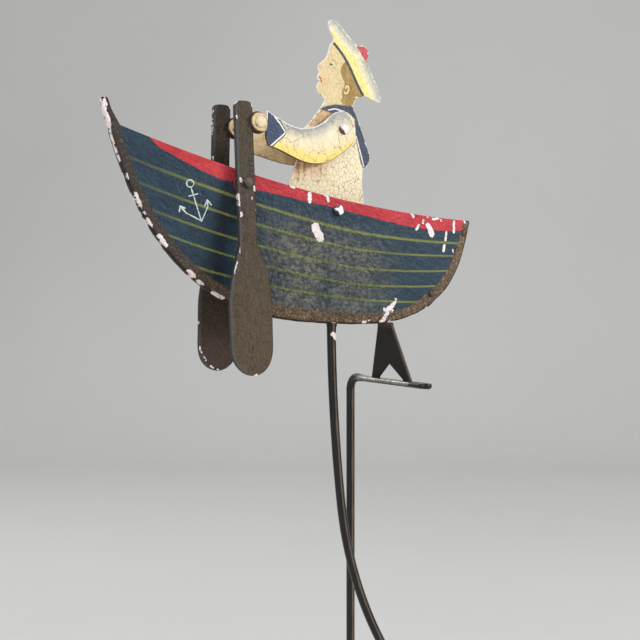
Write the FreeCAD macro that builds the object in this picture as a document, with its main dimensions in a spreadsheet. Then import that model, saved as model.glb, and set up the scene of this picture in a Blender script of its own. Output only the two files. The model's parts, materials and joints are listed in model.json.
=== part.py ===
"""Rowing sailor balance toy in painted sheet metal.

A flat cut-out sailor rows a boat that rocks on a perch.  X runs from the bow (minus) to the
stern, Y across the boat with port at minus, Z up.  The origin is the centre of the base's
underside, right below the rocking axis.  Shapes of the boat and its crew are drawn about
the rocking axis and lifted by pivot_height, so every height below is above that axis.
"""
import FreeCAD, Part
import Sketcher
import math
import os

DIMENSIONS = [
    ("pivot_height", 358, "rocking axis above the table"),
    # Stand
    ("base_radius", 80, "cast base"),
    ("base_thickness", 14, "cast base"),
    ("base_edge_round", 4, "rounding of the base's top edge"),
    ("pad_thickness", 2, "felt under the base"),
    ("pad_inset", 5, "felt edge inside the base's edge"),
    ("rod_diameter", 6.5, "upright rod"),
    ("rod_offset", 58, "upright from the boat's centre plane, to starboard"),
    ("bend_radius", 10, "bend from the upright into the perch arm"),
    ("perch_width", 11, "flattened arm, fore and aft"),
    ("perch_thickness", 4, "flattened arm, up and down"),
    ("perch_reach", 47.5, "arm's free end beyond the centre plane, to port"),
    ("perch_neck", 12, "length over which the round rod is flattened"),
    ("perch_drop", 0.5, "arm's top below the rocking axis"),
    ("groove_clearance", 0.4, "between a foot's edge and its groove"),
    ("collar_radius", 9, "collar on the base"),
    ("collar_height", 8, "collar on the base"),
    ("washer_radius", 9, "washer under the base"),
    ("washer_thickness", 1.5, "washer under the base"),
    ("nut_width", 11.1, "across flats, nuts on the rods"),
    ("nut_height", 5.5, "nuts on the rods"),
    ("recess_spare", 1, "recess under the base beyond the nut"),
    ("seat_gap", 0.05, "between pieces seated on each other"),
    ("running_gap", 0.08, "radial, rivet in a turning piece"),
    ("side_gap", 0.35, "between pieces that turn past each other"),
    # Hull
    ("hull_length", 294, "stem head to stern"),
    ("stern_x", 69.5, "stern aft of the rocking axis"),
    ("stern_top", 118.3, "sheer at the stern"),
    ("stem_top", 188, "head of the stem"),
    ("keel_bottom", 41, "lowest line of the keel"),
    ("sheer_rise", 54, "sheer at the bow above the stern"),
    ("sheer_run", 280.5, "fore and aft length of the sheer"),
    ("half_beam", 21.5, "centre plane to gunwale, outside"),
    ("widest_x", -45, "where the boat is widest"),
    ("section_bulge", 0.35, "roundness of the hull's sections"),
    ("hull_plate", 1.2, "side plates"),
    ("plate_setback", 0.8, "side plates' lower edge above the bar's"),
    ("bar_thickness", 4.5, "stem and keel bar, across"),
    ("bar_depth", 7, "stem and keel bar, in its own plane"),
    ("horn_depth", 4.4, "forged tip of the stem, in the bar's plane"),
    ("horn_round", 2.2, "rise of the horn's round tip"),
    # Foot
    ("foot_plate", 2, "A-shaped foot's plate"),
    ("foot_lean", 7.5, "degrees, top towards the bow"),
    ("foot_top_width", 16.5, "at the keel"),
    ("foot_span", 51.5, "over both points"),
    ("foot_point_width", 9, "each point's edge"),
    ("foot_notch", 11.7, "height of the notch between the points"),
    # Pendulum
    ("pendulum_diameter", 6.5, "rod under the keel"),
    ("pendulum_x", -51.7, "rod's root on the keel"),
    ("pendulum_start", 0.5, "degrees from plumb at the root"),
    ("upper_bend_radius", 1200, "rod's upper stretch"),
    ("upper_bend_length", 130, "rod's upper stretch"),
    ("lower_bend_radius", 280, "rod's lower stretch"),
    ("pendulum_end", 45, "straight end, up to the weight's centre"),
    ("swing_space", 45.9, "base's top to the weight's centre when it hangs below the axis"),
    # Linkage
    ("oar_pivot_x", -129.8, "rivet that an oar turns on"),
    ("oar_pivot_z", 137.7, "rivet that an oar turns on"),
    ("hand_x", -120, "rivet between hand and oar"),
    ("hand_z", 178.9, "rivet between hand and oar"),
    ("hip_x", -58, "axle that the sailor leans on"),
    ("hip_z", 121.4, "axle that the sailor leans on"),
    ("shoulder_x", -43.8, "rivet between sailor and arms"),
    ("shoulder_z", 181, "rivet between sailor and arms"),
    ("lean_ratio", 0.6885, "sailor's turn for each turn of the oars"),
    ("arm_ratio", -0.689, "arms' turn against the sailor for each turn of the oars"),
    ("hand_slack", 0.6, "radial play of the hand rivet in the oar"),
    # Rivets
    ("rivet_radius", 1.5, "shoulder, hand and leg weight rivets"),
    ("axle_radius", 2, "hip axle and oar rivets"),
    ("head_radius", 4, "rivet heads"),
    ("head_height", 2, "rivet heads"),
    ("tail_radius", 3.5, "closed ends of the rivets"),
    ("tail_height", 1.5, "closed ends of the rivets"),
    # Sailor and arms
    ("sailor_plate", 2, "sailor's sheet"),
    ("arm_plate", 2, "arms' sheet"),
    ("spacer_radius", 4.5, "tubes on the hip axle"),
    ("shoulder_washer_radius", 6, "between sailor and arm"),
    ("shoulder_washer", 1.4, "between sailor and arm"),
    ("palm_radius", 6.2, "round of the hand"),
    ("arm_shoulder_flat", 12, "arm flat from the shoulder to its first bend"),
    ("arm_hand_flat", 14, "arm flat from the hand to its second bend"),
    ("leg_weight_radius", 9, "slugs on the boots"),
    ("leg_weight_x", -60, "slugs forward of the hip"),
    ("leg_weight_z", -22, "slugs below the hip"),
    # Oars
    ("oar_crest", 3.4, "oar's thickness along its middle"),
    ("oar_crown_radius", 60, "roundness of an oar's outer face"),
    ("oar_splay", 3.6, "degrees, blades outwards"),
    ("oar_spacer", 1.8, "collar between hull and oar"),
    ("oar_spacer_radius", 7.5, "collar between hull and oar"),
    ("oar_handle_width", 13, "handle"),
    ("oar_handle_lean", 0.8, "handle's top forward of its foot"),
    ("oar_handle_shift", -0.3, "handle's foot aft of the pivot"),
    ("oar_blade_width", 32, "blade"),
    ("oar_blade_shift", 1.3, "blade's middle aft of the pivot"),
    ("oar_shoulder", 42, "start of the blade below the pivot"),
    ("oar_blade_end", 129.4, "blade's end below the pivot"),
    ("oar_top_port", 55, "handle's top above the pivot"),
    ("oar_top_starboard", 57, "handle's top above the pivot, a little longer"),
    ("oar_cap_round", 4, "rounding of the handle's top corners"),
    ("oar_ear_radius", 7.6, "ear that carries the hand rivet"),
]

X_AXIS = FreeCAD.Vector(1, 0, 0)
Y_AXIS = FreeCAD.Vector(0, 1, 0)
Z_AXIS = FreeCAD.Vector(0, 0, 1)

doc = FreeCAD.newDocument("rowing_balance_toy")
sheet = doc.addObject("Spreadsheet::Sheet", "dims")
nodes = {}


def write_dimension(alias, value, meaning):
    """Add one named value to the sheet, with what it is beside it."""
    row = write_dimension.next_row
    write_dimension.next_row = row + 1
    sheet.set(f"A{row}", meaning)
    sheet.set(f"B{row}", str(value))
    sheet.setAlias(f"B{row}", alias)


write_dimension.next_row = 1
for entry in DIMENSIONS:
    write_dimension(*entry)
doc.recompute()


def dim(alias):
    """A value of the sheet as a plain number."""
    return float(sheet.get(alias))


def derive(alias, value, meaning):
    """Keep a worked-out size in the sheet too, so that features can be bound to it."""
    write_dimension(alias, round(value, 4), meaning)
    doc.recompute()
    return round(value, 4)


def bind(feature, **expressions):
    """Bind properties to expressions of the sheet; Base_x stands for Placement.Base.x."""
    for name, expression in expressions.items():
        path = name.replace("Base_", "Placement.Base.")
        feature.setExpression(path, str(expression))


def as_node(feature, name):
    """Name a finished sub-part."""
    feature.Label = name
    nodes[name] = feature
    return feature


def solid(name):
    """A finished sub-part's one solid."""
    return nodes[name].Shape.Solids[0]


# ---------------------------------------------------------------- building blocks

def rod_across(name, radius, length, x, y, z):
    """Cylinder along +Y from (x, y, z), each given as an expression about the rocking axis."""
    feature = doc.addObject("Part::Cylinder", name)
    feature.Placement = FreeCAD.Placement(FreeCAD.Vector(), FreeCAD.Rotation(X_AXIS, -90))
    bind(feature, Radius=radius, Height=length, Base_x=x, Base_y=y,
         Base_z=f"dims.pivot_height + ({z})")
    return feature


def rod_upright(name, radius, length, y, z):
    """Cylinder along +Z from (0, y, z), in the stand's own frame."""
    feature = doc.addObject("Part::Cylinder", name)
    bind(feature, Radius=radius, Height=length, Base_y=y, Base_z=z)
    return feature


def dome_across(name, x, y, z, side):
    """Rivet head: a spherical cap with its flat at y, bulging to side (-1 port, +1 starboard)."""
    feature = doc.addObject("Part::Sphere", name)
    ball = "(dims.head_radius^2 + dims.head_height^2) / (2 * dims.head_height)"
    turn = FreeCAD.Rotation(X_AXIS, -90 * side)
    feature.Placement = FreeCAD.Placement(FreeCAD.Vector(), turn)
    bind(feature, Radius=ball, Angle1=f"asin(1 - dims.head_height / ({ball}))", Base_x=x,
         Base_y=f"({y}) - {side} * ({ball} - dims.head_height)",
         Base_z=f"dims.pivot_height + ({z})")
    return feature


def fuse(name, parts):
    feature = doc.addObject("Part::MultiFuse", name)
    feature.Shapes = parts
    feature.Refine = True
    return feature


def cut(name, base, tool):
    feature = doc.addObject("Part::Cut", name)
    feature.Base = base
    feature.Tool = tool
    return feature


def common(name, parts):
    feature = doc.addObject("Part::MultiCommon", name)
    feature.Shapes = parts
    return feature


def at_pivot(name, shape):
    """Hold a curve or face drawn about the rocking axis, lifted to its height."""
    feature = doc.addObject("Part::Feature", name)
    feature.Shape = shape
    feature.Placement = FreeCAD.Placement(FreeCAD.Vector(0, 0, dim("pivot_height")),
                                          FreeCAD.Rotation())
    return feature


def extrude(name, profile, direction, length, symmetric=False):
    """Sweep a face straight; length is an expression, direction a unit vector."""
    feature = doc.addObject("Part::Extrusion", name)
    feature.Base = profile
    feature.DirMode = "Custom"
    feature.Dir = direction
    feature.Solid = True
    feature.Symmetric = symmetric
    bind(feature, LengthFwd=length)
    return feature


def side_point(x, z):
    return FreeCAD.Vector(x, 0, z)


def smooth(points):
    """Curve through the points."""
    curve = Part.BSplineCurve()
    curve.interpolate(points)
    return curve.toShape()


def line(start, end):
    return Part.LineSegment(start, end).toShape()


def arc(start, middle, end):
    return Part.Arc(start, middle, end).toShape()


def outline_face(runs):
    """Face in the side view inside runs of (x, z) points.

    Each run starts where the one before ends.  A run of two points is a straight edge, a
    longer one a smooth curve through its points.
    """
    edges = []
    for run in runs:
        points = [side_point(x, z) for x, z in run]
        edges.append(line(*points) if len(points) == 2 else smooth(points))
    return Part.Face(Part.Wire(Part.__sortEdges__(edges)))


# ---------------------------------------------------------------- stand

def base_disc():
    """Turned disc with a rounded top edge, bored for the upright and recessed for its nut."""
    body = doc.addObject("PartDesign::Body", "base_disc_body")
    bind(body, Base_z="dims.pad_thickness")
    plane = origin_plane(body, "XY_Plane")
    disc = circle_sketch(body, "base_round", plane, "dims.base_radius", "0")
    pad = body.newObject("PartDesign::Pad", "base_blank")
    pad.Profile = disc
    bind(pad, Length="dims.base_thickness")
    doc.recompute()
    recess = circle_sketch(body, "base_recess_round", plane,
                           "dims.washer_radius + dims.side_gap", "dims.rod_offset")
    pocket = body.newObject("PartDesign::Pocket", "base_recess")
    pocket.Profile = recess
    pocket.Reversed = True
    bind(pocket, Length="dims.washer_thickness + dims.nut_height + dims.recess_spare")
    doc.recompute()
    bore = circle_sketch(body, "base_bore_round", plane,
                         "dims.rod_diameter / 2 + dims.seat_gap", "dims.rod_offset")
    hole = body.newObject("PartDesign::Pocket", "base_bore")
    hole.Profile = bore
    hole.Reversed = True
    hole.Type = "ThroughAll"
    doc.recompute()
    top = dim("base_thickness")
    rim = [f"Edge{number}" for number, edge in enumerate(hole.Shape.Edges, start=1)
           if isinstance(edge.Curve, Part.Circle)
           and abs(edge.Curve.Radius - dim("base_radius")) < 1e-6
           and abs(edge.CenterOfMass.z - top) < 1e-3]
    rounding = body.newObject("PartDesign::Fillet", "base_edge")
    rounding.Base = (hole, rim)
    bind(rounding, Radius="dims.base_edge_round")
    as_node(body, "base_disc")


def origin_plane(body, role):
    return [item for item in body.Origin.OriginFeatures if item.Role == role][0]


def circle_sketch(body, name, plane, radius, offset):
    """Circle at (0, offset) on one of the body's own planes, both bound to the sheet."""
    sketch = body.newObject("Sketcher::SketchObject", name)
    sketch.AttachmentSupport = [(plane, "")]
    sketch.MapMode = "FlatFace"
    sketch.addGeometry(Part.Circle(FreeCAD.Vector(0, 1, 0), Z_AXIS, 5), False)
    sketch.addConstraint(Sketcher.Constraint("PointOnObject", 0, 3, -2))
    sketch.addConstraint(Sketcher.Constraint("DistanceY", -1, 1, 0, 3, 1))
    sketch.addConstraint(Sketcher.Constraint("Radius", 0, 5))
    sketch.setExpression("Constraints[1]", offset)
    sketch.setExpression("Constraints[2]", radius)
    return sketch


def base_pad():
    feature = rod_upright("base_pad_disc", "dims.base_radius - dims.pad_inset",
                          "dims.pad_thickness", "0", "0")
    as_node(feature, "base_pad")


def hexagon(name, y, z):
    """Nut blank along +Z, from (0, y, z)."""
    feature = doc.addObject("Part::Prism", name)
    feature.Polygon = 6
    bind(feature, Circumradius="dims.nut_width / sqrt(3)", Height="dims.nut_height",
         Base_y=y, Base_z=z)
    return feature


def rod_fastening():
    """Collar on the base, washer and nut in the recess below it, all round the upright."""
    bore = "dims.rod_diameter / 2 + dims.seat_gap"
    recess = "dims.pad_thickness + dims.washer_thickness + dims.nut_height + dims.recess_spare"
    seats = {
        "rod_collar": ("dims.collar_radius", "dims.collar_height",
                       "dims.pad_thickness + dims.base_thickness"),
        "rod_washer": ("dims.washer_radius", "dims.washer_thickness",
                       f"{recess} - dims.washer_thickness"),
    }
    for name, (radius, height, bottom) in seats.items():
        ring = rod_upright(name + "_disc", radius, height, "dims.rod_offset", bottom)
        hole = rod_upright(name + "_bore", bore, height, "dims.rod_offset", bottom)
        as_node(cut(name + "_ring", ring, hole), name)
    bottom = f"{recess} - dims.washer_thickness - dims.nut_height"
    blank = hexagon("rod_nut_blank", "dims.rod_offset", bottom)
    hole = rod_upright("rod_nut_bore", bore, "dims.nut_height", "dims.rod_offset", bottom)
    as_node(cut("rod_nut_ring", blank, hole), "rod_nut")


def perch_section(width, thickness, y, z):
    """Wire across the arm at y: a bar section with round edges, or a circle when square."""
    half = thickness / 2
    reach = max(width / 2 - half, 0.01)
    corners = [FreeCAD.Vector(x, y, z + rise) for x, rise in
               ((-reach, -half), (reach, -half), (reach, half), (-reach, half))]
    edges = [
        line(corners[0], corners[1]),
        arc(corners[1], FreeCAD.Vector(reach + half, y, z), corners[2]),
        line(corners[2], corners[3]),
        arc(corners[3], FreeCAD.Vector(-reach - half, y, z), corners[0]),
    ]
    return Part.Wire(edges)


def stand_rod():
    """Round upright, quarter bend, and an arm hammered flat where the boat's foot stands."""
    centre = -dim("perch_drop") - dim("perch_thickness") / 2
    height = derive("bend_height", dim("pivot_height") + centre - dim("bend_radius"),
                    "start of the upright's bend above the table")
    derive("rod_bottom", dim("pad_thickness") + dim("recess_spare") / 2,
           "lower end of the upright")
    upright = rod_upright("upright", "dims.rod_diameter / 2",
                          "dims.bend_height - dims.rod_bottom", "dims.rod_offset",
                          "dims.rod_bottom")
    start = dim("rod_offset") - dim("bend_radius")
    bend = doc.addObject("Part::Torus", "upright_bend")
    bend.Angle3 = 90
    bend.Placement = FreeCAD.Placement(FreeCAD.Vector(0, start, height),
                                       FreeCAD.Rotation(Y_AXIS, Z_AXIS, X_AXIS, "ZXY"))
    bind(bend, Radius1="dims.bend_radius", Radius2="dims.rod_diameter / 2")
    neck = start - dim("perch_neck")
    round_wire = perch_section(dim("rod_diameter"), dim("rod_diameter"), start, centre)
    flat_wire = perch_section(dim("perch_width"), dim("perch_thickness"), neck, centre)
    round_section = at_pivot("arm_round_section", round_wire)
    flat_section = at_pivot("arm_flat_section", flat_wire)
    taper = doc.addObject("Part::Loft", "arm_neck")
    taper.Sections = [round_section, flat_section]
    taper.Solid = True
    taper.Ruled = True
    derive("perch_length", neck + dim("perch_reach") - dim("perch_width") / 2,
           "flat arm, up to its round end")
    flat_face = at_pivot("arm_flat_face", Part.Face(flat_wire))
    flat = extrude("arm_flat", flat_face, -Y_AXIS, "dims.perch_length")
    end = doc.addObject("Part::Cylinder", "arm_end")
    bind(end, Radius="dims.perch_width / 2", Height="dims.perch_thickness",
         Base_y="dims.perch_width / 2 - dims.perch_reach",
         Base_z="dims.pivot_height - dims.perch_drop - dims.perch_thickness")
    blank = fuse("stand_rod_blank", [upright, bend, taper, flat, end])
    grooves = []
    for side, label in ((-1, "port"), (1, "starboard")):
        inner = "dims.foot_span / 2 - dims.foot_point_width - dims.groove_clearance"
        length = "dims.foot_point_width + 2 * dims.groove_clearance"
        near = f"-({inner}) - ({length})" if side < 0 else inner
        grooves.append(rod_across("groove_" + label,
                                  "dims.foot_plate / 2 + dims.groove_clearance", length, "0",
                                  near, "0"))
    as_node(cut("stand_rod_cut", blank, fuse("grooves", grooves)), "stand_rod")


# ---------------------------------------------------------------- hull

# The keel line from the stem head to the stern, as parts of the hull's length and, for the
# bow's points, of the stem's height above the keel; the stern's points are parts of its own.
KEEL_BOW = [(0.0, 1.0), (0.047, 0.719), (0.143, 0.37), (0.305, 0.11), (0.58, 0.003)]
KEEL_STERN = [(0.72, 0.0), (0.80, 0.045), (0.912, 0.275), (0.973, 0.63), (1.0, 1.0)]


def keel_curve():
    """Outer edge of stem, keel and stern post in the side view."""
    bow = dim("stern_x") - dim("hull_length")
    keel = dim("keel_bottom")
    points = []
    for shape, top in ((KEEL_BOW, dim("stem_top")), (KEEL_STERN, dim("stern_top"))):
        for along, up in shape:
            points.append(side_point(bow + along * dim("hull_length"), keel + up * (top - keel)))
    curve = Part.BSplineCurve()
    curve.interpolate(points)
    return curve


def keel_z(curve, x):
    """Height of the keel line at x, by halving: x only grows along the line."""
    low, high = curve.FirstParameter, curve.LastParameter
    for _ in range(40):
        middle = (low + high) / 2
        if curve.value(middle).x < x:
            low = middle
        else:
            high = middle
    return curve.value(low).z


def sheer_z(x):
    """Height of the gunwale: a parabola that rises to the bow."""
    back = (dim("stern_x") - x) / dim("sheer_run")
    return dim("stern_top") + dim("sheer_rise") * back ** 2


def half_breadth(x):
    """Outside of the gunwale from the centre plane: a parabola each way from the widest."""
    offset = x - dim("widest_x")
    stern, bow = dim("stern_x") - dim("widest_x"), dim("sheer_run") - dim("stern_x")
    run = stern if offset > 0 else bow + dim("widest_x")
    edge = plate_edge()
    return edge + (dim("half_beam") - edge) * (1 - (offset / run) ** 2)


def plate_edge():
    """Outside of a side plate from the centre plane, where it lies on the bar."""
    return dim("bar_thickness") / 2 + dim("seat_gap") + dim("hull_plate")


def hull_y(curve, x, z):
    """Outside of the hull from the centre plane, at a place in the side view."""
    low = keel_z(curve, x) + dim("plate_setback")
    part = (z - low) / (sheer_z(x) - low)
    bulge = dim("section_bulge") * part * (1 - part)
    edge = plate_edge()
    return edge + (half_breadth(x) - edge) * (part + bulge)


def hull_face(curve):
    """Outer face of the port plate: upright rows from the keel line to the sheer."""
    front = dim("stern_x") - dim("sheer_run")
    back = dim("stern_x") - dim("plate_setback")
    columns, rows = 25, 5
    grid = []
    for column in range(columns):
        x = front + (back - front) * column / (columns - 1)
        low = keel_z(curve, x) + dim("plate_setback")
        high = sheer_z(x)
        heights = [low + (high - low) * row / (rows - 1) for row in range(rows)]
        grid.append([FreeCAD.Vector(x, -hull_y(curve, x, z), z) for z in heights])
    surface = Part.BSplineSurface()
    surface.interpolate(grid)
    return surface.toShape()


def hull_bores(names_and_places):
    """One tool for the holes through both plates: (name, radius, x, z)."""
    tools = []
    for name, radius, x, z in names_and_places:
        tools.append(rod_across(name, radius, "4 * dims.half_beam", x, "-2 * dims.half_beam", z))
    return fuse("hull_bore_tool", tools)


def hull_plates(curve):
    """Two bent side plates, welded to the bar along stem, keel and stern."""
    skin = at_pivot("hull_skin_face", hull_face(curve))
    blank = extrude("hull_plate_blank", skin, Y_AXIS, "dims.hull_plate")
    bore = "dims.axle_radius + dims.seat_gap"
    tool = hull_bores([("hull_hip_bore", bore, "dims.hip_x", "dims.hip_z"),
                       ("hull_oar_bore", bore, "dims.oar_pivot_x", "dims.oar_pivot_z")])
    port = cut("hull_plate_port_cut", blank, tool)
    as_node(port, "hull_plate_port")
    starboard = doc.addObject("Part::Mirroring", "hull_plate_starboard_mirror")
    starboard.Source = port
    starboard.Normal = Y_AXIS
    as_node(starboard, "hull_plate_starboard")
    return skin


def keel_bar(curve):
    """Flat bar bent on edge: horn, stem, keel and stern post in one."""
    horn, full = dim("horn_depth"), dim("bar_depth")
    count, tapered = 24, 3
    span = curve.LastParameter - curve.FirstParameter
    inner = []
    for step in range(count + 1):
        at = curve.FirstParameter + span * step / count
        along = curve.tangent(at)[0]
        depth = horn + (full - horn) * min(1, step / tapered)
        inner.append(curve.value(at) + FreeCAD.Vector(-along.z, 0, along.x) * depth)
    head, foot = curve.value(curve.FirstParameter), curve.value(curve.LastParameter)
    crown = (head + inner[0]) * 0.5 - curve.tangent(curve.FirstParameter)[0] * dim("horn_round")
    edges = [curve.toShape(), line(foot, inner[-1]), smooth(inner), arc(inner[0], crown, head)]
    face = at_pivot("keel_bar_face", Part.Face(Part.Wire(Part.__sortEdges__(edges))))
    as_node(extrude("keel_bar_solid", face, Y_AXIS, "dims.bar_thickness", True), "keel_bar")


def a_foot(curve):
    """Plate under the keel with two points, each ground to a round edge on the axis."""
    lean = math.radians(dim("foot_lean"))
    top_x = -dim("keel_bottom") * math.tan(lean)
    reach = (keel_z(curve, top_x) - dim("seat_gap")) / math.cos(lean)
    derive("foot_height", reach - dim("foot_plate") / 2 * math.tan(lean),
           "foot's plate, from the axis to the keel")
    half_plate = dim("foot_plate") / 2
    height = dim("foot_height")
    bottom = arc(side_point(-half_plate, 0), side_point(0, -half_plate),
                 side_point(half_plate, 0))
    section = Part.Wire([bottom,
                         line(side_point(half_plate, 0), side_point(half_plate, height)),
                         line(side_point(half_plate, height), side_point(-half_plate, height)),
                         line(side_point(-half_plate, height), side_point(-half_plate, 0))])
    strip = extrude("foot_strip", at_pivot("foot_section", Part.Face(section)), Y_AXIS,
                    "dims.foot_span", True)
    outer, inner = dim("foot_span") / 2, dim("foot_span") / 2 - dim("foot_point_width")
    top, sole = dim("foot_top_width") / 2, -2 * half_plate
    corners = [(-top, height), (top, height), (outer, 0), (outer, sole), (inner, sole),
               (inner, 0), (0, dim("foot_notch")), (-inner, 0), (-inner, sole),
               (-outer, sole), (-outer, 0), (-top, height)]
    shape = Part.Face(Part.makePolygon([FreeCAD.Vector(0, y, z) for y, z in corners]))
    cutter = extrude("foot_outline_prism", at_pivot("foot_outline", shape), X_AXIS,
                     "4 * dims.foot_plate", True)
    foot = common("a_foot_upright", [strip, cutter])
    leaned = doc.addObject("Part::Compound", "a_foot_leaned")
    leaned.Links = [foot]
    axis = FreeCAD.Vector(0, 0, dim("pivot_height"))
    leaned.Placement = FreeCAD.Placement(FreeCAD.Vector(),
                                         FreeCAD.Rotation(Y_AXIS, -dim("foot_lean")), axis)
    as_node(leaned, "a_foot")


def pendulum(curve):
    """Rod bent in two arcs with a straight end; returns its end and end direction."""
    start_turn = math.radians(dim("pendulum_start"))
    root, half = dim("pendulum_x"), dim("pendulum_diameter") / 2
    lowest = min(keel_z(curve, root - half), keel_z(curve, root + half))
    start = side_point(root, lowest - dim("seat_gap"))
    upper_sweep = dim("upper_bend_length") / dim("upper_bend_radius")
    joint = start + bend_step(start_turn, upper_sweep, dim("upper_bend_radius"))
    knee_turn = start_turn + upper_sweep
    lower_sweep = pendulum_sweep(joint, knee_turn)
    last = joint + bend_step(knee_turn, lower_sweep, dim("lower_bend_radius"))
    heading = rod_heading(knee_turn + lower_sweep)
    end = last + heading * dim("pendulum_end")
    upper_middle = start + bend_step(start_turn, upper_sweep / 2, dim("upper_bend_radius"))
    lower_middle = joint + bend_step(knee_turn, lower_sweep / 2, dim("lower_bend_radius"))
    edges = [arc(start, upper_middle, joint), arc(joint, lower_middle, last), line(last, end)]
    path = at_pivot("pendulum_path", Part.Wire(edges))
    ring = doc.addObject("Part::Circle", "pendulum_section")
    ring.Placement = FreeCAD.Placement(path.Shape.Vertexes[0].Point,
                                       FreeCAD.Rotation(Z_AXIS, rod_heading(start_turn)))
    bind(ring, Radius="dims.pendulum_diameter / 2")
    rod = doc.addObject("Part::Sweep", "pendulum_rod_sweep")
    rod.Sections = [ring]
    rod.Spine = (path, [f"Edge{number}" for number in range(1, len(edges) + 1)])
    rod.Solid = True
    rod.Frenet = False
    as_node(rod, "pendulum_rod")
    return end, heading


def pendulum_sweep(joint, turn):
    """Lower arc's angle, by halving, that leaves swing_space over the base."""
    base_top = dim("pad_thickness") + dim("base_thickness")
    swing = dim("pivot_height") - base_top - dim("swing_space")
    low, high = 0.0, math.pi / 2
    for _ in range(40):
        sweep = (low + high) / 2
        last = joint + bend_step(turn, sweep, dim("lower_bend_radius"))
        if (last + rod_heading(turn + sweep) * dim("pendulum_end")).Length < swing:
            low = sweep
        else:
            high = sweep
    return sweep


def rod_heading(turn):
    """Direction down the rod where it is turned from plumb."""
    return side_point(math.sin(turn), -math.cos(turn))


def bend_step(turn, sweep, radius):
    """From a place heading down at turn from plumb, round an arc towards the stern."""
    forward = math.cos(turn) - math.cos(turn + sweep)
    down = math.sin(turn + sweep) - math.sin(turn)
    return side_point(forward * radius, -down * radius)


def counterweight(end, heading):
    """Ball bored for the rod's end, with a nut against it.

    The ball is as heavy as keeps the whole boat's centre of mass below the rocking axis.
    """
    turned = FreeCAD.Rotation(Z_AXIS, heading * -1)
    centre = end + FreeCAD.Vector(0, 0, dim("pivot_height"))
    bore = dim("pendulum_diameter") / 2 + dim("seat_gap")
    moment = sum(solid(name).Volume * solid(name).CenterOfMass.x
                 for name in nodes if name not in STAND_NODES)
    low, high = dim("pendulum_diameter"), dim("pendulum_end")
    for _ in range(40):
        radius = (low + high) / 2
        ball = 4 / 3 * math.pi * radius ** 3 * end.x
        hole = math.pi * bore ** 2 * radius * (end.x - heading.x * radius / 2)
        nut = nut_volume() * (end.x - heading.x * (radius + dim("nut_height") / 2))
        if moment + ball - hole + nut < 0:
            low = radius
        else:
            high = radius
    derive("ball_radius", radius, "counterweight, worked out from the boat's balance")
    sphere = doc.addObject("Part::Sphere", "counterweight_sphere")
    bind(sphere, Radius="dims.ball_radius")
    sphere.Placement = FreeCAD.Placement(centre, turned)
    hole = doc.addObject("Part::Cylinder", "counterweight_bore")
    bind(hole, Radius="dims.pendulum_diameter / 2 + dims.seat_gap",
         Height="dims.ball_radius + 1")
    hole.Placement = FreeCAD.Placement(centre + heading * dim("seat_gap"), turned)
    as_node(cut("counterweight_bored", sphere, hole), "counterweight_ball")
    seat = centre - heading * (radius + dim("seat_gap"))
    blank = doc.addObject("Part::Prism", "counterweight_nut_blank")
    blank.Polygon = 6
    bind(blank, Circumradius="dims.nut_width / sqrt(3)", Height="dims.nut_height")
    blank.Placement = FreeCAD.Placement(seat, turned)
    thread = doc.addObject("Part::Cylinder", "counterweight_nut_bore")
    bind(thread, Radius="dims.pendulum_diameter / 2 + dims.seat_gap", Height="dims.nut_height")
    thread.Placement = FreeCAD.Placement(seat, turned)
    as_node(cut("counterweight_nut_cut", blank, thread), "counterweight_nut")


def nut_volume():
    bore = dim("pendulum_diameter") / 2 + dim("seat_gap")
    hexagon_area = math.sqrt(3) / 2 * dim("nut_width") ** 2
    return (hexagon_area - math.pi * bore ** 2) * dim("nut_height")


STAND_NODES = ("base_disc", "base_pad", "stand_rod", "rod_collar", "rod_washer", "rod_nut")


# ---------------------------------------------------------------- axles and rivets

def rivet(name, radius, x, z, head_y, tail_y, side):
    """Rivet across the boat: a domed head at head_y facing side, a flat tail at tail_y."""
    low, high = sorted((head_y, tail_y))
    shank = rod_across(name + "_shank", radius, high - low, x, low, z)
    head = dome_across(name + "_head", x, head_y, z, side)
    tail_start = tail_y if side < 0 else f"{tail_y} - dims.tail_height"
    tail = rod_across(name + "_tail", "dims.tail_radius", "dims.tail_height", x, tail_start, z)
    as_node(fuse(name + "_rivet", [shank, head, tail]), name)


def hip_axle(curve):
    """Axle through both plates with a domed head each side, and its two tubes inside."""
    head_z = dim("hip_z") + dim("head_radius")
    outside = hull_y(curve, dim("hip_x"), head_z)
    derive("hip_head_y", outside + dim("seat_gap"), "hip axle's heads from the centre plane")
    shank = rod_across("hip_shank", "dims.axle_radius", "2 * dims.hip_head_y", "dims.hip_x",
                       "-dims.hip_head_y", "dims.hip_z")
    heads = [dome_across("hip_head_port", "dims.hip_x", "-dims.hip_head_y", "dims.hip_z", -1),
             dome_across("hip_head_starboard", "dims.hip_x", "dims.hip_head_y", "dims.hip_z", 1)]
    as_node(fuse("hip_axle_rivet", [shank] + heads), "hip_axle")
    low_z = dim("hip_z") - dim("spacer_radius")
    inside = hull_y(curve, dim("hip_x"), low_z) - dim("hull_plate") - dim("side_gap")
    derive("hip_tube_end", inside, "outer end of a hip tube")
    start = "dims.sailor_plate / 2 + dims.side_gap"
    for side, label in ((-1, "port"), (1, "starboard")):
        low = "-dims.hip_tube_end" if side < 0 else start
        length = f"dims.hip_tube_end - ({start})"
        tube = rod_across(f"hip_tube_{label}", "dims.spacer_radius", length, "dims.hip_x", low,
                          "dims.hip_z")
        bore = rod_across(f"hip_tube_{label}_bore", "dims.axle_radius + dims.seat_gap", length,
                          "dims.hip_x", low, "dims.hip_z")
        as_node(cut(f"hip_spacer_{label}_cut", tube, bore), f"hip_spacer_{label}")


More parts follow.
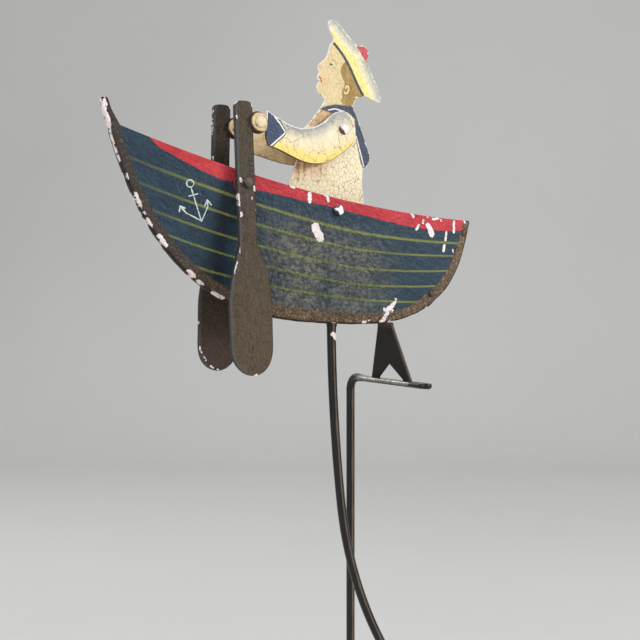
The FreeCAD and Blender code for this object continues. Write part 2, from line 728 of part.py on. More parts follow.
def oar_mounts(curve, skin):
    """Collar and rivet that carry each oar on the hull."""
    x, z = dim("oar_pivot_x"), dim("oar_pivot_z")
    derive("oar_seat_y", hull_y(curve, x, z) + dim("oar_spacer"),
           "outer face of an oar's collar from the centre plane")
    tilt = math.tan(math.radians(dim("oar_splay")))
    derive("oar_inner_y", dim("oar_seat_y") + dim("side_gap") + tilt * dim("oar_spacer_radius"),
           "inner face of an oar at its pivot")
    head_y = (dim("oar_inner_y") + dim("oar_crest") / math.cos(math.atan(tilt))
              + tilt * dim("head_radius") + dim("side_gap") / 2)
    narrow = hull_y(curve, x - dim("tail_radius"), z - dim("tail_radius"))
    tail_y = narrow - dim("hull_plate") - dim("seat_gap")
    core = extrude("hull_core", skin, Y_AXIS, "dims.half_beam")
    starboard_core = doc.addObject("Part::Mirroring", "hull_core_starboard")
    starboard_core.Source = core
    starboard_core.Normal = Y_AXIS
    cores = {"port": core, "starboard": starboard_core}
    for side, label in ((-1, "port"), (1, "starboard")):
        low = "-dims.oar_seat_y" if side < 0 else "dims.oar_seat_y - 3 * dims.oar_spacer"
        blank = rod_across(f"oar_collar_{label}", "dims.oar_spacer_radius",
                           "3 * dims.oar_spacer", "dims.oar_pivot_x", low, "dims.oar_pivot_z")
        bore = rod_across(f"oar_collar_{label}_bore", "dims.axle_radius + dims.seat_gap",
                          "3 * dims.oar_spacer", "dims.oar_pivot_x", low, "dims.oar_pivot_z")
        ring = cut(f"oar_collar_{label}_ring", blank, bore)
        as_node(cut(f"oar_spacer_{label}_cut", ring, cores[label]), f"oar_spacer_{label}")
        rivet(f"oar_rivet_{label}", "dims.axle_radius", "dims.oar_pivot_x",
              "dims.oar_pivot_z", side * head_y, side * tail_y, side)


# ---------------------------------------------------------------- sailor

# The sailor's outline from the hip axle, as runs from the waist up the front, over the hat
# and down the back to the seat and legs that are hidden inside the hull.
SAILOR_RUNS = [
    [(-28.5, 12), (-28.5, 19)],
    [(-28.5, 19), (-23, 33), (-16, 59)],
    [(-16, 59), (-11, 63.7), (-7.8, 67.6), (-3.4, 73), (0.2, 78.6), (1, 80.2)],
    [(1, 80.2), (-2.6, 83.4), (-5.3, 85.7), (-6, 88.1), (-5.1, 90.7), (-3.8, 93.1)],
    [(-3.8, 93.1), (-5.2, 94.9), (-5, 97.1), (-3.7, 99.3)],
    [(-3.7, 99.3), (-4.9, 101.4), (-4.7, 103.8), (-3, 106.2), (1, 109.2)],
    [(1, 109.2), (3.3, 112.9), (4.6, 117.3), (5.8, 121.1)],
    [(5.8, 121.1), (7.7, 122.3)],
    [(7.7, 122.3), (8, 124.8), (6.5, 127.7), (4.2, 132.5), (3.8, 135), (5.2, 137.6),
     (8.4, 137.8), (12, 135.8)],
    [(12, 135.8), (15.9, 131.9), (21.3, 126.6), (28.1, 120.7)],
    [(28.1, 120.7), (30.8, 121.8), (34, 121.4), (36.6, 118.6), (36.9, 114), (35.3, 111.1)],
    [(35.3, 111.1), (39, 104.3), (42.7, 96.9), (46, 90.4), (47.8, 85)],
    [(47.8, 85), (47.7, 82.4), (46, 81.6), (42.7, 82.4), (38.8, 83.8), (33.7, 86.1)],
    [(33.7, 86.1), (32.6, 84.6), (29, 83.9), (26.5, 83.6)],
    [(26.5, 83.6), (25.6, 80.5), (24, 77.5), (24.1, 75.5)],
    [(24.1, 75.5), (29.3, 64.8), (34.1, 52.8), (38.3, 43)],
    [(38.3, 43), (38.6, 40.5), (37.6, 38)],
    [(37.6, 38), (33.6, 32.7), (32.1, 32.5)],
    [(32.1, 32.5), (31.6, 24), (32.4, 12), (33.2, 4)],
    [(33.2, 4), (31, -9), (22, -16), (6, -18)],
    [(6, -18), (-48, -34)],
    [(-48, -34), (-64, -34), (-71, -30), (-70, -10), (-64, -8), (-58, -12)],
    [(-58, -12), (-28.5, 12)],
]


def sailor():
    """One flat cut-out, drilled for the hip axle, the shoulders and the leg weights."""
    hip_x, hip_z = dim("hip_x"), dim("hip_z")
    runs = [[(hip_x + x, hip_z + z) for x, z in run] for run in SAILOR_RUNS]
    blank = extrude("sailor_blank", at_pivot("sailor_outline", outline_face(runs)), Y_AXIS,
                    "dims.sailor_plate", True)
    length = "4 * dims.sailor_plate"
    start = "-2 * dims.sailor_plate"
    tools = [
        rod_across("sailor_hip_bore", "dims.axle_radius + dims.running_gap", length,
                   "dims.hip_x", start, "dims.hip_z"),
        rod_across("sailor_shoulder_bore", "dims.rivet_radius + dims.seat_gap", length,
                   "dims.shoulder_x", start, "dims.shoulder_z"),
        rod_across("sailor_weight_bore", "dims.rivet_radius + dims.seat_gap", length,
                   "dims.hip_x + dims.leg_weight_x", start, "dims.hip_z + dims.leg_weight_z"),
    ]
    as_node(cut("sailor_plate_cut", blank, fuse("sailor_bores", tools)), "sailor_plate")


def shoulder():
    """Rivet through both arms and the sailor, with a washer each side."""
    derive("arm_seat_y", dim("sailor_plate") / 2 + dim("shoulder_washer") + dim("seat_gap")
           + dim("running_gap"), "inner face of an arm at the shoulder")
    head_y = dim("arm_seat_y") + dim("arm_plate") + dim("side_gap") / 2
    rivet("shoulder_rivet", "dims.rivet_radius", "dims.shoulder_x", "dims.shoulder_z",
          -head_y, head_y, -1)
    for side, label in ((-1, "port"), (1, "starboard")):
        inner = "dims.sailor_plate / 2 + dims.seat_gap / 2"
        low = f"-({inner}) - dims.shoulder_washer" if side < 0 else inner
        disc = rod_across(f"shoulder_disc_{label}", "dims.shoulder_washer_radius",
                          "dims.shoulder_washer", "dims.shoulder_x", low, "dims.shoulder_z")
        bore = rod_across(f"shoulder_disc_{label}_bore", "dims.rivet_radius + dims.seat_gap",
                          "dims.shoulder_washer", "dims.shoulder_x", low, "dims.shoulder_z")
        as_node(cut(f"shoulder_washer_{label}_cut", disc, bore), f"shoulder_washer_{label}")


def leg_weights():
    """Slugs riveted to the boots, as thick as balances crew and oars on their pivots."""
    lean, turn = dim("lean_ratio"), dim("arm_ratio")
    hip, lift = dim("hip_x"), (dim("shoulder_x") - dim("hip_x")) * dim("lean_ratio")
    moment = 0.0
    for name in ("oar_port", "oar_starboard"):
        moment += solid(name).Volume * (solid(name).CenterOfMass.x - dim("oar_pivot_x"))
    for name in ("arm_port", "arm_starboard", "hand_rivet_port", "hand_rivet_starboard"):
        reach = solid(name).CenterOfMass.x - dim("shoulder_x")
        moment += solid(name).Volume * (reach * (lean + turn) + lift)
    for name in ("sailor_plate", "shoulder_rivet", "shoulder_washer_port",
                 "shoulder_washer_starboard"):
        moment += solid(name).Volume * (solid(name).CenterOfMass.x - hip) * lean
    bore = dim("rivet_radius") + dim("seat_gap")
    area = math.pi * (dim("leg_weight_radius") ** 2 - bore ** 2)
    rivet_area = math.pi * dim("rivet_radius") ** 2
    ends = math.pi * dim("tail_radius") ** 2 * dim("tail_height")
    ends += math.pi * dim("head_height") / 6 * (3 * dim("head_radius") ** 2
                                                + dim("head_height") ** 2)
    lever = -dim("leg_weight_x") * lean
    needed = moment / lever - ends - rivet_area * dim("sailor_plate")
    derive("leg_weight", needed / 2 / (area + rivet_area),
           "one slug's thickness, worked out from the crew's balance")
    x, z = "dims.hip_x + dims.leg_weight_x", "dims.hip_z + dims.leg_weight_z"
    for side, label in ((-1, "port"), (1, "starboard")):
        inner = "dims.sailor_plate / 2 + dims.seat_gap / 2"
        low = f"-({inner}) - dims.leg_weight" if side < 0 else inner
        disc = rod_across(f"leg_slug_{label}", "dims.leg_weight_radius", "dims.leg_weight", x,
                          low, z)
        hole = rod_across(f"leg_slug_{label}_bore", "dims.rivet_radius + dims.seat_gap",
                          "dims.leg_weight", x, low, z)
        as_node(cut(f"leg_weight_{label}_cut", disc, hole), f"leg_weight_{label}")
    reach = dim("sailor_plate") / 2 + dim("seat_gap") + dim("leg_weight")
    rivet("leg_weight_rivet", "dims.rivet_radius", x, z, -reach, reach, -1)


# ---------------------------------------------------------------- arms

# An arm's outline about its shoulder, as (part of the way to the hand, height): the upper
# edge from the cuff to the shoulder, round it, the lower edge back to the cuff, and the cuff.
ARM_TOP = [(0.90, 5.6), (0.81, 1.0), (0.66, -2.5), (0.51, -3.2), (0.395, -1.6), (0.205, 5.0),
           (0.09, 11.4), (0.0, 13.3)]
ARM_ROUND = [(0.0, 13.3), (-0.075, 9.0), (-0.125, 0.0), (-0.112, -7.5), (-0.02, -15.4),
             (0.10, -21.3), (0.20, -24.9), (0.33, -26.6), (0.52, -26.1), (0.685, -23.0),
             (0.89, -17.6)]
ARM_CUFF = [(0.89, -17.6), (0.98, -12.1), (0.90, 5.6)]


def arm_plan(side, hand_inner, first, last):
    """Bent strip seen from above: flat at the shoulder, slanting, and flat at the hand."""
    seat = dim("arm_seat_y")
    plate = dim("arm_plate")
    shoulder_x, hand_x = dim("shoulder_x"), dim("hand_x")
    knee = shoulder_x - dim("arm_shoulder_flat")
    wrist = hand_x + dim("arm_hand_flat")
    slope = math.atan2(hand_inner - seat, knee - wrist)
    shift = plate * math.tan(slope / 2)
    inner = [(first, seat), (knee, seat), (wrist, hand_inner), (last, hand_inner)]
    outer = [(last, hand_inner + plate), (wrist + shift, hand_inner + plate),
             (knee + shift, seat + plate), (first, seat + plate)]
    low = dim("shoulder_z") - 2 * dim("half_beam")
    corners = [FreeCAD.Vector(x, side * y, low) for x, y in inner + outer]
    return Part.Face(Part.makePolygon(corners + corners[:1]))


def arm(side, label, hand_inner):
    """Side outline and plan of the bent strip, crossed, with bores at shoulder and hand."""
    shoulder_x, shoulder_z = dim("shoulder_x"), dim("shoulder_z")
    reach = dim("hand_x") - shoulder_x
    runs = [[(shoulder_x + reach * part, shoulder_z + up) for part, up in run]
            for run in (ARM_TOP, ARM_ROUND, ARM_CUFF[:2], ARM_CUFF[1:])]
    prism = extrude(f"arm_{label}_side", at_pivot(f"arm_{label}_outline", outline_face(runs)),
                    Y_AXIS, "4 * dims.half_beam", True)
    palm = rod_across(f"palm_{label}", "dims.palm_radius", "4 * dims.half_beam", "dims.hand_x",
                      "-2 * dims.half_beam", "dims.hand_z")
    thumb = dim("hand_x") - 1.2 * dim("palm_radius")
    heel = shoulder_x + dim("arm_shoulder_flat")
    plan = at_pivot(f"arm_{label}_plan", arm_plan(side, hand_inner, heel, thumb))
    strip = extrude(f"arm_{label}_strip", plan, Z_AXIS, "4 * dims.half_beam")
    blank = common(f"arm_{label}_blank", [fuse(f"arm_{label}_shape", [prism, palm]), strip])
    tools = fuse(f"arm_{label}_bores", [
        rod_across(f"arm_{label}_shoulder_bore", "dims.rivet_radius + dims.running_gap",
                   "4 * dims.half_beam", "dims.shoulder_x", "-2 * dims.half_beam",
                   "dims.shoulder_z"),
        rod_across(f"arm_{label}_hand_bore", "dims.rivet_radius + dims.seat_gap",
                   "4 * dims.half_beam", "dims.hand_x", "-2 * dims.half_beam", "dims.hand_z"),
    ])
    as_node(cut(f"arm_{label}_cut", blank, tools), f"arm_{label}")


def arms():
    """Port hand outside its oar, starboard hand inside: both rivet heads face port."""
    tilt = math.tan(math.radians(dim("oar_splay")))
    rise = dim("hand_z") - dim("oar_pivot_z")
    ear_inner = dim("oar_inner_y") - tilt * (rise + dim("oar_ear_radius"))
    ear_outer = (dim("oar_inner_y") + dim("oar_crest") / math.cos(math.atan(tilt))
                 - tilt * (rise - dim("oar_ear_radius")))
    outside = ear_outer + dim("side_gap")
    inside = ear_inner - dim("side_gap") - dim("arm_plate")
    arm(-1, "port", outside)
    arm(1, "starboard", inside)
    rivet("hand_rivet_port", "dims.rivet_radius", "dims.hand_x", "dims.hand_z",
          -(outside + dim("arm_plate") + dim("seat_gap")), -(ear_inner - dim("side_gap")), -1)
    rivet("hand_rivet_starboard", "dims.rivet_radius", "dims.hand_x", "dims.hand_z",
          inside - dim("seat_gap"), ear_outer + dim("side_gap"), -1)


# ---------------------------------------------------------------- oars

def oar_outline(top):
    """Oar in the side view about its pivot: straight handle, swelling blade, round end."""
    half, wide = dim("oar_handle_width") / 2, dim("oar_blade_width") / 2
    foot_x = dim("oar_handle_shift")
    head_x = foot_x - dim("oar_handle_lean")
    neck, end = -dim("oar_shoulder"), -dim("oar_blade_end")
    down = [neck + part * (end - neck) for part in (0.19, 0.42, 0.68, 0.915)]
    swell = [wide * part for part in (0.78, 1.0, 0.99, 0.78)]
    middle = dim("oar_blade_shift")
    aft = [(middle + x, z) for x, z in zip(swell, down)]
    fore = [(middle - x, z) for x, z in zip(swell, down)]
    corner = dim("oar_cap_round")
    cap = [(head_x - half, top - corner), (head_x - half + 0.6 * corner, top - 0.15 * corner),
           (head_x, top),
           (head_x + half - 0.5 * corner, top - 0.2 * corner), (head_x + half, top - corner)]
    aft_foot, fore_foot = (foot_x + half, neck), (foot_x - half, neck)
    blade = [aft_foot] + aft + [(middle, end)] + fore[::-1] + [fore_foot]
    return [cap, [cap[-1], aft_foot], blade, [fore_foot, cap[0]]]


def oar(side, label, top):
    """Plate with a crowned outer face and an ear for the hand, splayed outwards."""
    thick = "dims.oar_crest"
    face = at_pivot(f"oar_{label}_outline", outline_face(oar_outline(top)))
    blank = extrude(f"oar_{label}_blank", face, Y_AXIS * side, thick)
    ear = doc.addObject("Part::Cylinder", f"oar_{label}_ear")
    ear.Placement = FreeCAD.Placement(FreeCAD.Vector(), FreeCAD.Rotation(X_AXIS, -90 * side))
    bind(ear, Radius="dims.oar_ear_radius", Height=thick,
         Base_x="dims.hand_x - dims.oar_pivot_x",
         Base_z="dims.pivot_height + dims.hand_z - dims.oar_pivot_z")
    crown = doc.addObject("Part::Cylinder", f"oar_{label}_crown")
    bind(crown, Radius="dims.oar_crown_radius", Height="2 * dims.oar_blade_end",
         Base_y=f"{side} * (dims.oar_crest - dims.oar_crown_radius)",
         Base_z="dims.pivot_height - dims.oar_blade_end - 1")
    crowned = common(f"oar_{label}_crowned", [fuse(f"oar_{label}_plate", [blank, ear]), crown])
    splayed = doc.addObject("Part::Compound", f"oar_{label}_splayed")
    splayed.Links = [crowned]
    pivot = FreeCAD.Vector(0, 0, dim("pivot_height"))
    tilt = FreeCAD.Rotation(X_AXIS, side * dim("oar_splay"))
    place = FreeCAD.Vector(dim("oar_pivot_x"), side * dim("oar_inner_y"), dim("oar_pivot_z"))
    splayed.Placement = FreeCAD.Placement(place, FreeCAD.Rotation()) * FreeCAD.Placement(
        FreeCAD.Vector(), tilt, pivot)
    bores = fuse(f"oar_{label}_bores", [
        rod_across(f"oar_{label}_pivot_bore", "dims.axle_radius + dims.running_gap",
                   "4 * dims.half_beam", "dims.oar_pivot_x", "-2 * dims.half_beam",
                   "dims.oar_pivot_z"),
        rod_across(f"oar_{label}_hand_bore", "dims.rivet_radius + dims.hand_slack",
                   "4 * dims.half_beam", "dims.hand_x", "-2 * dims.half_beam", "dims.hand_z"),
    ])
    as_node(cut(f"oar_{label}_cut", splayed, bores), f"oar_{label}")


# ---------------------------------------------------------------- assembly

def check_features():
    """Stop if any feature failed, or a sub-part is empty or not one valid solid."""
    faults = [item.Name for item in doc.Objects
              if "Invalid" in item.State or "Error" in item.State]
    if faults:
        raise RuntimeError("failed features: " + ", ".join(faults))
    for name, feature in nodes.items():
        shape = feature.Shape
        if shape.isNull() or not shape.isValid() or len(shape.Solids) != 1:
            raise RuntimeError(f"{name} is not one valid solid")


def write_steps():
    os.makedirs("parts", exist_ok=True)
    for name, feature in nodes.items():
        feature.Shape.exportStep(f"parts/{name}.step")
        print(f"{name}: {feature.Shape.Volume:.0f} mm3")


keel = keel_curve()
base_disc()
base_pad()
rod_fastening()
stand_rod()
hull_skin = hull_plates(keel)
keel_bar(keel)
a_foot(keel)
weight_place, weight_heading = pendulum(keel)
hip_axle(keel)
oar_mounts(keel, hull_skin)
oar(-1, "port", dim("oar_top_port"))
oar(1, "starboard", dim("oar_top_starboard"))
sailor()
shoulder()
arms()
doc.recompute()
leg_weights()
doc.recompute()
counterweight(weight_place, weight_heading)
doc.recompute()
check_features()
write_steps()
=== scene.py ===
import json
import math
import bmesh
import bpy
import numpy as np
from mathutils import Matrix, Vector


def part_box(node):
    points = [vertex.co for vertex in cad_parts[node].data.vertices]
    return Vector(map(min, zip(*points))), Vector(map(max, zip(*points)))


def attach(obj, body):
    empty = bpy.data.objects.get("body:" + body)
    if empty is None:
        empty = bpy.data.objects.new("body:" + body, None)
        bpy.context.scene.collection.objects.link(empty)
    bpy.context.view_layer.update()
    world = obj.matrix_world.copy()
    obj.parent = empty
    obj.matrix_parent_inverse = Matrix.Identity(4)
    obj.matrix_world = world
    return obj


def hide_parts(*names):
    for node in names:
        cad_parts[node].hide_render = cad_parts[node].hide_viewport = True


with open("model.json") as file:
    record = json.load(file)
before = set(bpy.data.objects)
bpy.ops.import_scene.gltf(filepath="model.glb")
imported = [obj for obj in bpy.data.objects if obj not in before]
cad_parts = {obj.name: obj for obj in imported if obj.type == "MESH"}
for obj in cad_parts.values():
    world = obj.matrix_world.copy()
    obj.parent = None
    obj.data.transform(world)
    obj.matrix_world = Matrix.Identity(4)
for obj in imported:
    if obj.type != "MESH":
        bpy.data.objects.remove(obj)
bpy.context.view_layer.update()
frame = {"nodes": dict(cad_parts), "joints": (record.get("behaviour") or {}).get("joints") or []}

# ---------------------------------------------------------------- base
# Cast-iron disc, turned on its rim and top and brushed with black enamel.
# A felt disc is glued under it, so that it does not scratch the table.


def tint(red, green, blue):
    """A paint colour from its 0-255 mix, made linear for the shader."""
    part = np.array([red, green, blue]) / 255
    linear = np.where(part <= 0.04045, part / 12.92, ((part + 0.055) / 1.055) ** 2.4)
    return (*[float(value) for value in linear], 1.0)


class Value:
    """One output of a node: a number, a colour or a place that changes over the surface."""

    def __init__(self, socket):
        self.socket = socket

    def __add__(self, other):
        return maths("ADD", self, other)

    def __sub__(self, other):
        return maths("SUBTRACT", self, other)

    def __rsub__(self, other):
        return maths("SUBTRACT", other, self)

    def __mul__(self, other):
        return maths("MULTIPLY", self, other)

    def __truediv__(self, other):
        return maths("DIVIDE", self, other)

    def __rtruediv__(self, other):
        return maths("DIVIDE", other, self)

    def __abs__(self):
        return maths("ABSOLUTE", self)


def feed(node, inputs):
    """Gives a node its inputs: each is a number, a colour or another node's value."""
    for name, value in inputs.items():
        if isinstance(value, Value):
            node.id_data.links.new(value.socket, node.inputs[name])
        else:
            node.inputs[name].default_value = value


def put(beside, kind, inputs=None, out=0, **settings):
    """A new node in the tree of the value beside it, with its settings; gives one output."""
    node = beside.socket.id_data.nodes.new("ShaderNode" + kind)
    for name, value in settings.items():
        setattr(node, name, value)
    feed(node, inputs or {})
    return Value(node.outputs[out])


def maths(operation, first, second=0.0):
    """One sum of two numbers, at least one of them a value."""
    beside = first if isinstance(first, Value) else second
    return put(beside, "Math", {0: first, 1: second}, operation=operation)


def spread(value, low, high, start=0.0, end=1.0):
    """Low where the value is at start, high where it is at end, and flat beyond them."""
    ends = {"Value": value, "From Min": start, "From Max": end, "To Min": low, "To Max": high}
    return put(value, "MapRange", ends)


def band(value, low, high):
    """0 at low to 1 at high, and flat beyond; low may be above high."""
    return spread(value, 0.0, 1.0, low, high)


def blend(mask, under, over):
    """Colour over laid on colour under where mask is 1; a plain colour is its 0-255 mix."""
    under, over = [tint(*mix) if isinstance(mix, tuple) else mix for mix in (under, over)]
    return put(mask, "Mix", {0: mask, 6: under, 7: over}, 2, data_type="RGBA")


def noise(place, scale, detail, roughness=0.5, out=0):
    """Cloudy noise of that many clouds to a metre; output 0 is one number, 1 is three."""
    ends = {"Vector": place, "Scale": scale, "Detail": detail, "Roughness": roughness}
    return put(place, "TexNoise", ends, out)


def effect(name, usual, gives, recipe):
    """A shader node group: its inputs with their usual values, its outputs, how it is made."""
    group = bpy.data.node_groups.new(name, "ShaderNodeTree")
    for label, value in usual.items():
        kind = "NodeSocketVector" if value is None else "NodeSocketFloat"
        socket = group.interface.new_socket(label, in_out="INPUT", socket_type=kind)
        if value is not None:
            socket.default_value = value
    for label in gives:
        group.interface.new_socket(label, in_out="OUTPUT", socket_type="NodeSocketFloat")
    taken = group.nodes.new("NodeGroupInput").outputs
    given = group.nodes.new("NodeGroupOutput")
    feed(given, dict(zip(gives, recipe(*[Value(taken[label]) for label in usual]))))
    return group


def mottle_recipe(place, size, contrast):
    """Brushed tone: soft noise with finer noise laid over it, cut to the contrast."""
    return [band((noise(place, 1000.0 / size, 5.0, 0.62) - 0.5) * contrast, -0.2, 0.2)]


def flakes_recipe(place, size, limit):
    """Lost paint: crisp-edged spots where coarse and fine noise together pass a limit."""
    return [band(noise(place, 1000.0 / size, 3.5, 0.55) - limit, 0.0, 0.012)]


MOTTLE = effect("mottle", {"Vector": None, "Size": 10.0, "Contrast": 1.0}, ["Tone"], mottle_recipe)
FLAKES = effect("flakes", {"Vector": None, "Size": 6.0, "Limit": 0.62}, ["Mask"], flakes_recipe)


def use(group, **inputs):
    """One node of a group, with its inputs; gives its outputs by name."""
    node = inputs["Vector"].socket.id_data.nodes.new("ShaderNodeGroup")
    node.node_tree = group
    feed(node, inputs)
    return {socket.name: Value(socket) for socket in node.outputs}


def mottle(place, size, contrast):
    """Uneven tone from 0 to 1, in patches of that size in millimetres."""
    return use(MOTTLE, Vector=place, Size=size, Contrast=contrast)["Tone"]


def flakes(place, size, limit):
    """1 where a flake of paint of that size is off, 0 elsewhere."""
    return use(FLAKES, Vector=place, Size=size, Limit=limit)["Mask"]


def finish(name, **constants):
    """A new material: itself, its shader and the object's own coordinates."""
    material = bpy.data.materials.new(name)
    material.use_nodes = True
    nodes = material.node_tree.nodes
    shader = nodes["Principled BSDF"]
    feed(shader, {label.replace("_", " "): value for label, value in constants.items()})
    return material, shader, Value(nodes.new("ShaderNodeTexCoord").outputs["Object"])


def coat(shader, colour, roughness=None, height=None, relief=0.2):
    """Joins a finish to its shader; relief is the height's full size in millimetres."""
    feed(shader, {"Base Color": colour})
    if roughness is not None:
        feed(shader, {"Roughness": roughness})
    if height is not None:
        raised = {"Height": height, "Strength": 0.8, "Distance": relief / 1000}
        feed(shader, {"Normal": put(colour, "Bump", raised)})


def enamel(name, dark, light, wear_and_reflection, roughness, grain):
    """Brushed black enamel: two tones, rubbed places and a fine uneven surface."""
    material, shader, here = finish(name)
    tone = mottle(here, grain * 6, 1.0)
    fine = mottle(here, grain, 1.0)
    rubbed = flakes(here, grain * 4, 0.64)
    colour = blend(tone, dark, light)
    colour = blend(rubbed * 0.7, colour, wear_and_reflection)
    coat(shader, colour, spread(fine, roughness - 0.1, roughness + 0.12), fine, 0.12)
    return material


def felt_finish():
    """Dark green felt: matted fibres with a soft nap."""
    material, shader, here = finish("felt", Roughness=1.0)
    nap = mottle(here, 0.8, 1.6)
    patch = mottle(here, 14.0, 1.0)
    colour = blend(nap, (24, 34, 28), (44, 56, 46))
    colour = blend(patch * 0.35, colour, (34, 38, 32))
    coat(shader, colour, None, nap, 0.3)
    return material


def softened(piece, width):
    """Takes the sharpness off a piece's edges; width in millimetres."""
    rounding = piece.modifiers.new("edge", "BEVEL")
    rounding.width = width / 1000
    rounding.segments = 2
    rounding.limit_method = "ANGLE"
    rounding.angle_limit = math.radians(50)


def smooth_copy(node, body, material, edge=0.0):
    """The CAD node's own shape with its doubles merged and its round faces smooth."""
    mesh = frame["nodes"][node].data.copy()
    shape = bmesh.new()
    shape.from_mesh(mesh)
    bmesh.ops.remove_doubles(shape, verts=shape.verts, dist=1e-6)
    shape.to_mesh(mesh)
    shape.free()
    mesh.polygons.foreach_set("use_smooth", np.ones(len(mesh.polygons), bool))
    mesh.set_sharp_from_angle(angle=math.radians(32))
    mesh.materials.clear()
    mesh.materials.append(material)
    piece = bpy.data.objects.new(node + "_finished", mesh)
    bpy.context.scene.collection.objects.link(piece)
    if edge:
        softened(piece, edge)
    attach(piece, body)
    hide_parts(node)


CAST_BLACK = enamel("cast_black", (20, 19, 19), (40, 37, 34), (86, 74, 60), 0.5, 1.6)
smooth_copy("base_disc", "stand", CAST_BLACK)
# The felt keeps the CAD node's own shape.
felt = frame["nodes"]["base_pad"].data
felt.materials.clear()
felt.materials.append(felt_finish())

# ---------------------------------------------------------------- stand rod
# Quarter-inch steel rod: screwed down through the base, bent over at the top and hammered flat,
# with two grooves filed across the flat for the points of the foot. Black enamel, with a tan
# painted reflection down one side.
PIVOT_Z = [joint["pos_m"][2] for joint in frame["joints"] if joint["name"] == "boat_rock"][0]
ROD_RADIUS = 3.25
ROD_Y = 58.0
BEND_RADIUS = 10.0
ARM_Z = -2.5
ARM_HALF_WIDTH = 5.5
ARM_HALF_THICK = 2.0
NECK_FROM, NECK_TO = 48.0, 36.0
ARM_TIP = -47.5
GROOVE_FROM, GROOVE_TO = 16.3, 26.2
GROOVE_DEEP, GROOVE_HALF = 0.95, 1.15
DISH_DEEP, DISH_HALF = 0.5, 3.3
UPRIGHT_ROWS = 150
AROUND = 64
WAVE_COUNT = 7


def ease(value, low, high):
    """0 below low, 1 above high, and an even S between them."""
    part = np.clip((value - low) / (high - low), 0, 1)
    return part * part * (3 - 2 * part)


def full_turn(count):
    """Angles once round, as one row."""
    return np.linspace(0, 2 * math.pi, count, endpoint=False)[None]


def surface(name, places, marks=None, ring=False):
    """A mesh of four-sided faces through a grid of places (rows, columns, xyz).

    Places are in millimetres from the rocking axis. Marks are numbers for each place that the
    paint reads. A ring's last column joins its first, and equal places become one.
    """
    rows, columns = places.shape[:2]
    index = np.arange(rows * columns).reshape(rows, columns)
    if ring:
        index = np.concatenate([index, index[:, :1]], axis=1)
    corners = (index[:-1, :-1], index[:-1, 1:], index[1:, 1:], index[1:, :-1])
    faces = np.stack(corners, axis=-1).reshape(-1, 4)
    mesh = bpy.data.meshes.new(name)
    points = places.reshape(-1, 3) / 1000 + np.array([0, 0, PIVOT_Z])
    mesh.from_pydata(points, [], faces)
    for label, values in (marks or {}).items():
        layer = mesh.attributes.new(label, "FLOAT", "POINT")
        whole = np.broadcast_to(values, (rows, columns)).astype(np.float32)
        layer.data.foreach_set("value", np.ascontiguousarray(whole).ravel())
    shape = bmesh.new()
    shape.from_mesh(mesh)
    bmesh.ops.remove_doubles(shape, verts=shape.verts, dist=2e-6)
    bmesh.ops.dissolve_degenerate(shape, edges=shape.edges, dist=1e-7)
    bmesh.ops.recalc_face_normals(shape, faces=shape.faces)
    shape.to_mesh(mesh)
    shape.free()
    mesh.polygons.foreach_set("use_smooth", np.ones(len(mesh.polygons), bool))
    piece = bpy.data.objects.new(name, mesh)
    bpy.context.scene.collection.objects.link(piece)
    return piece


def settle(piece, body, slot, material, *nodes):
    """Finish, body and the CAD nodes that a piece stands for; the slot is not used."""
    for layer in material if isinstance(material, (list, tuple)) else [material]:
        piece.data.materials.append(layer)
    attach(piece, body)
    if nodes:
        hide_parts(*nodes)


def places_at(x, y, z):
    """Places from three grids, each of which may be one row, one column or one number."""
    return np.stack(np.broadcast_arrays(x, y, z), axis=-1)


def closed_ends(rings):
    """Rings with one more row at each end, all at that end's middle."""
    first = np.broadcast_to(rings[:1].mean(axis=1, keepdims=True), rings[:1].shape)
    last = np.broadcast_to(rings[-1:].mean(axis=1, keepdims=True), rings[-1:].shape)
    return np.concatenate([first, rings, last])


def with_ends(values):
    """A mark's rows with the first and last repeated, to match closed_ends."""
    return np.concatenate([values[:1], values, values[-1:]])


def waves(along, across, seed):
    """Even unevenness between about -1 and 1: a sum of sine waves with drawn pitches."""
    drawn = np.random.default_rng(seed)
    total = np.zeros(np.broadcast(along, across).shape)
    for _ in range(WAVE_COUNT):
        pitch_a, pitch_b = drawn.uniform(0.5, 2.2), drawn.integers(1, 4)
        total = total + np.sin(pitch_a * along + pitch_b * across + drawn.uniform(0, 6.3))
    return total / WAVE_COUNT


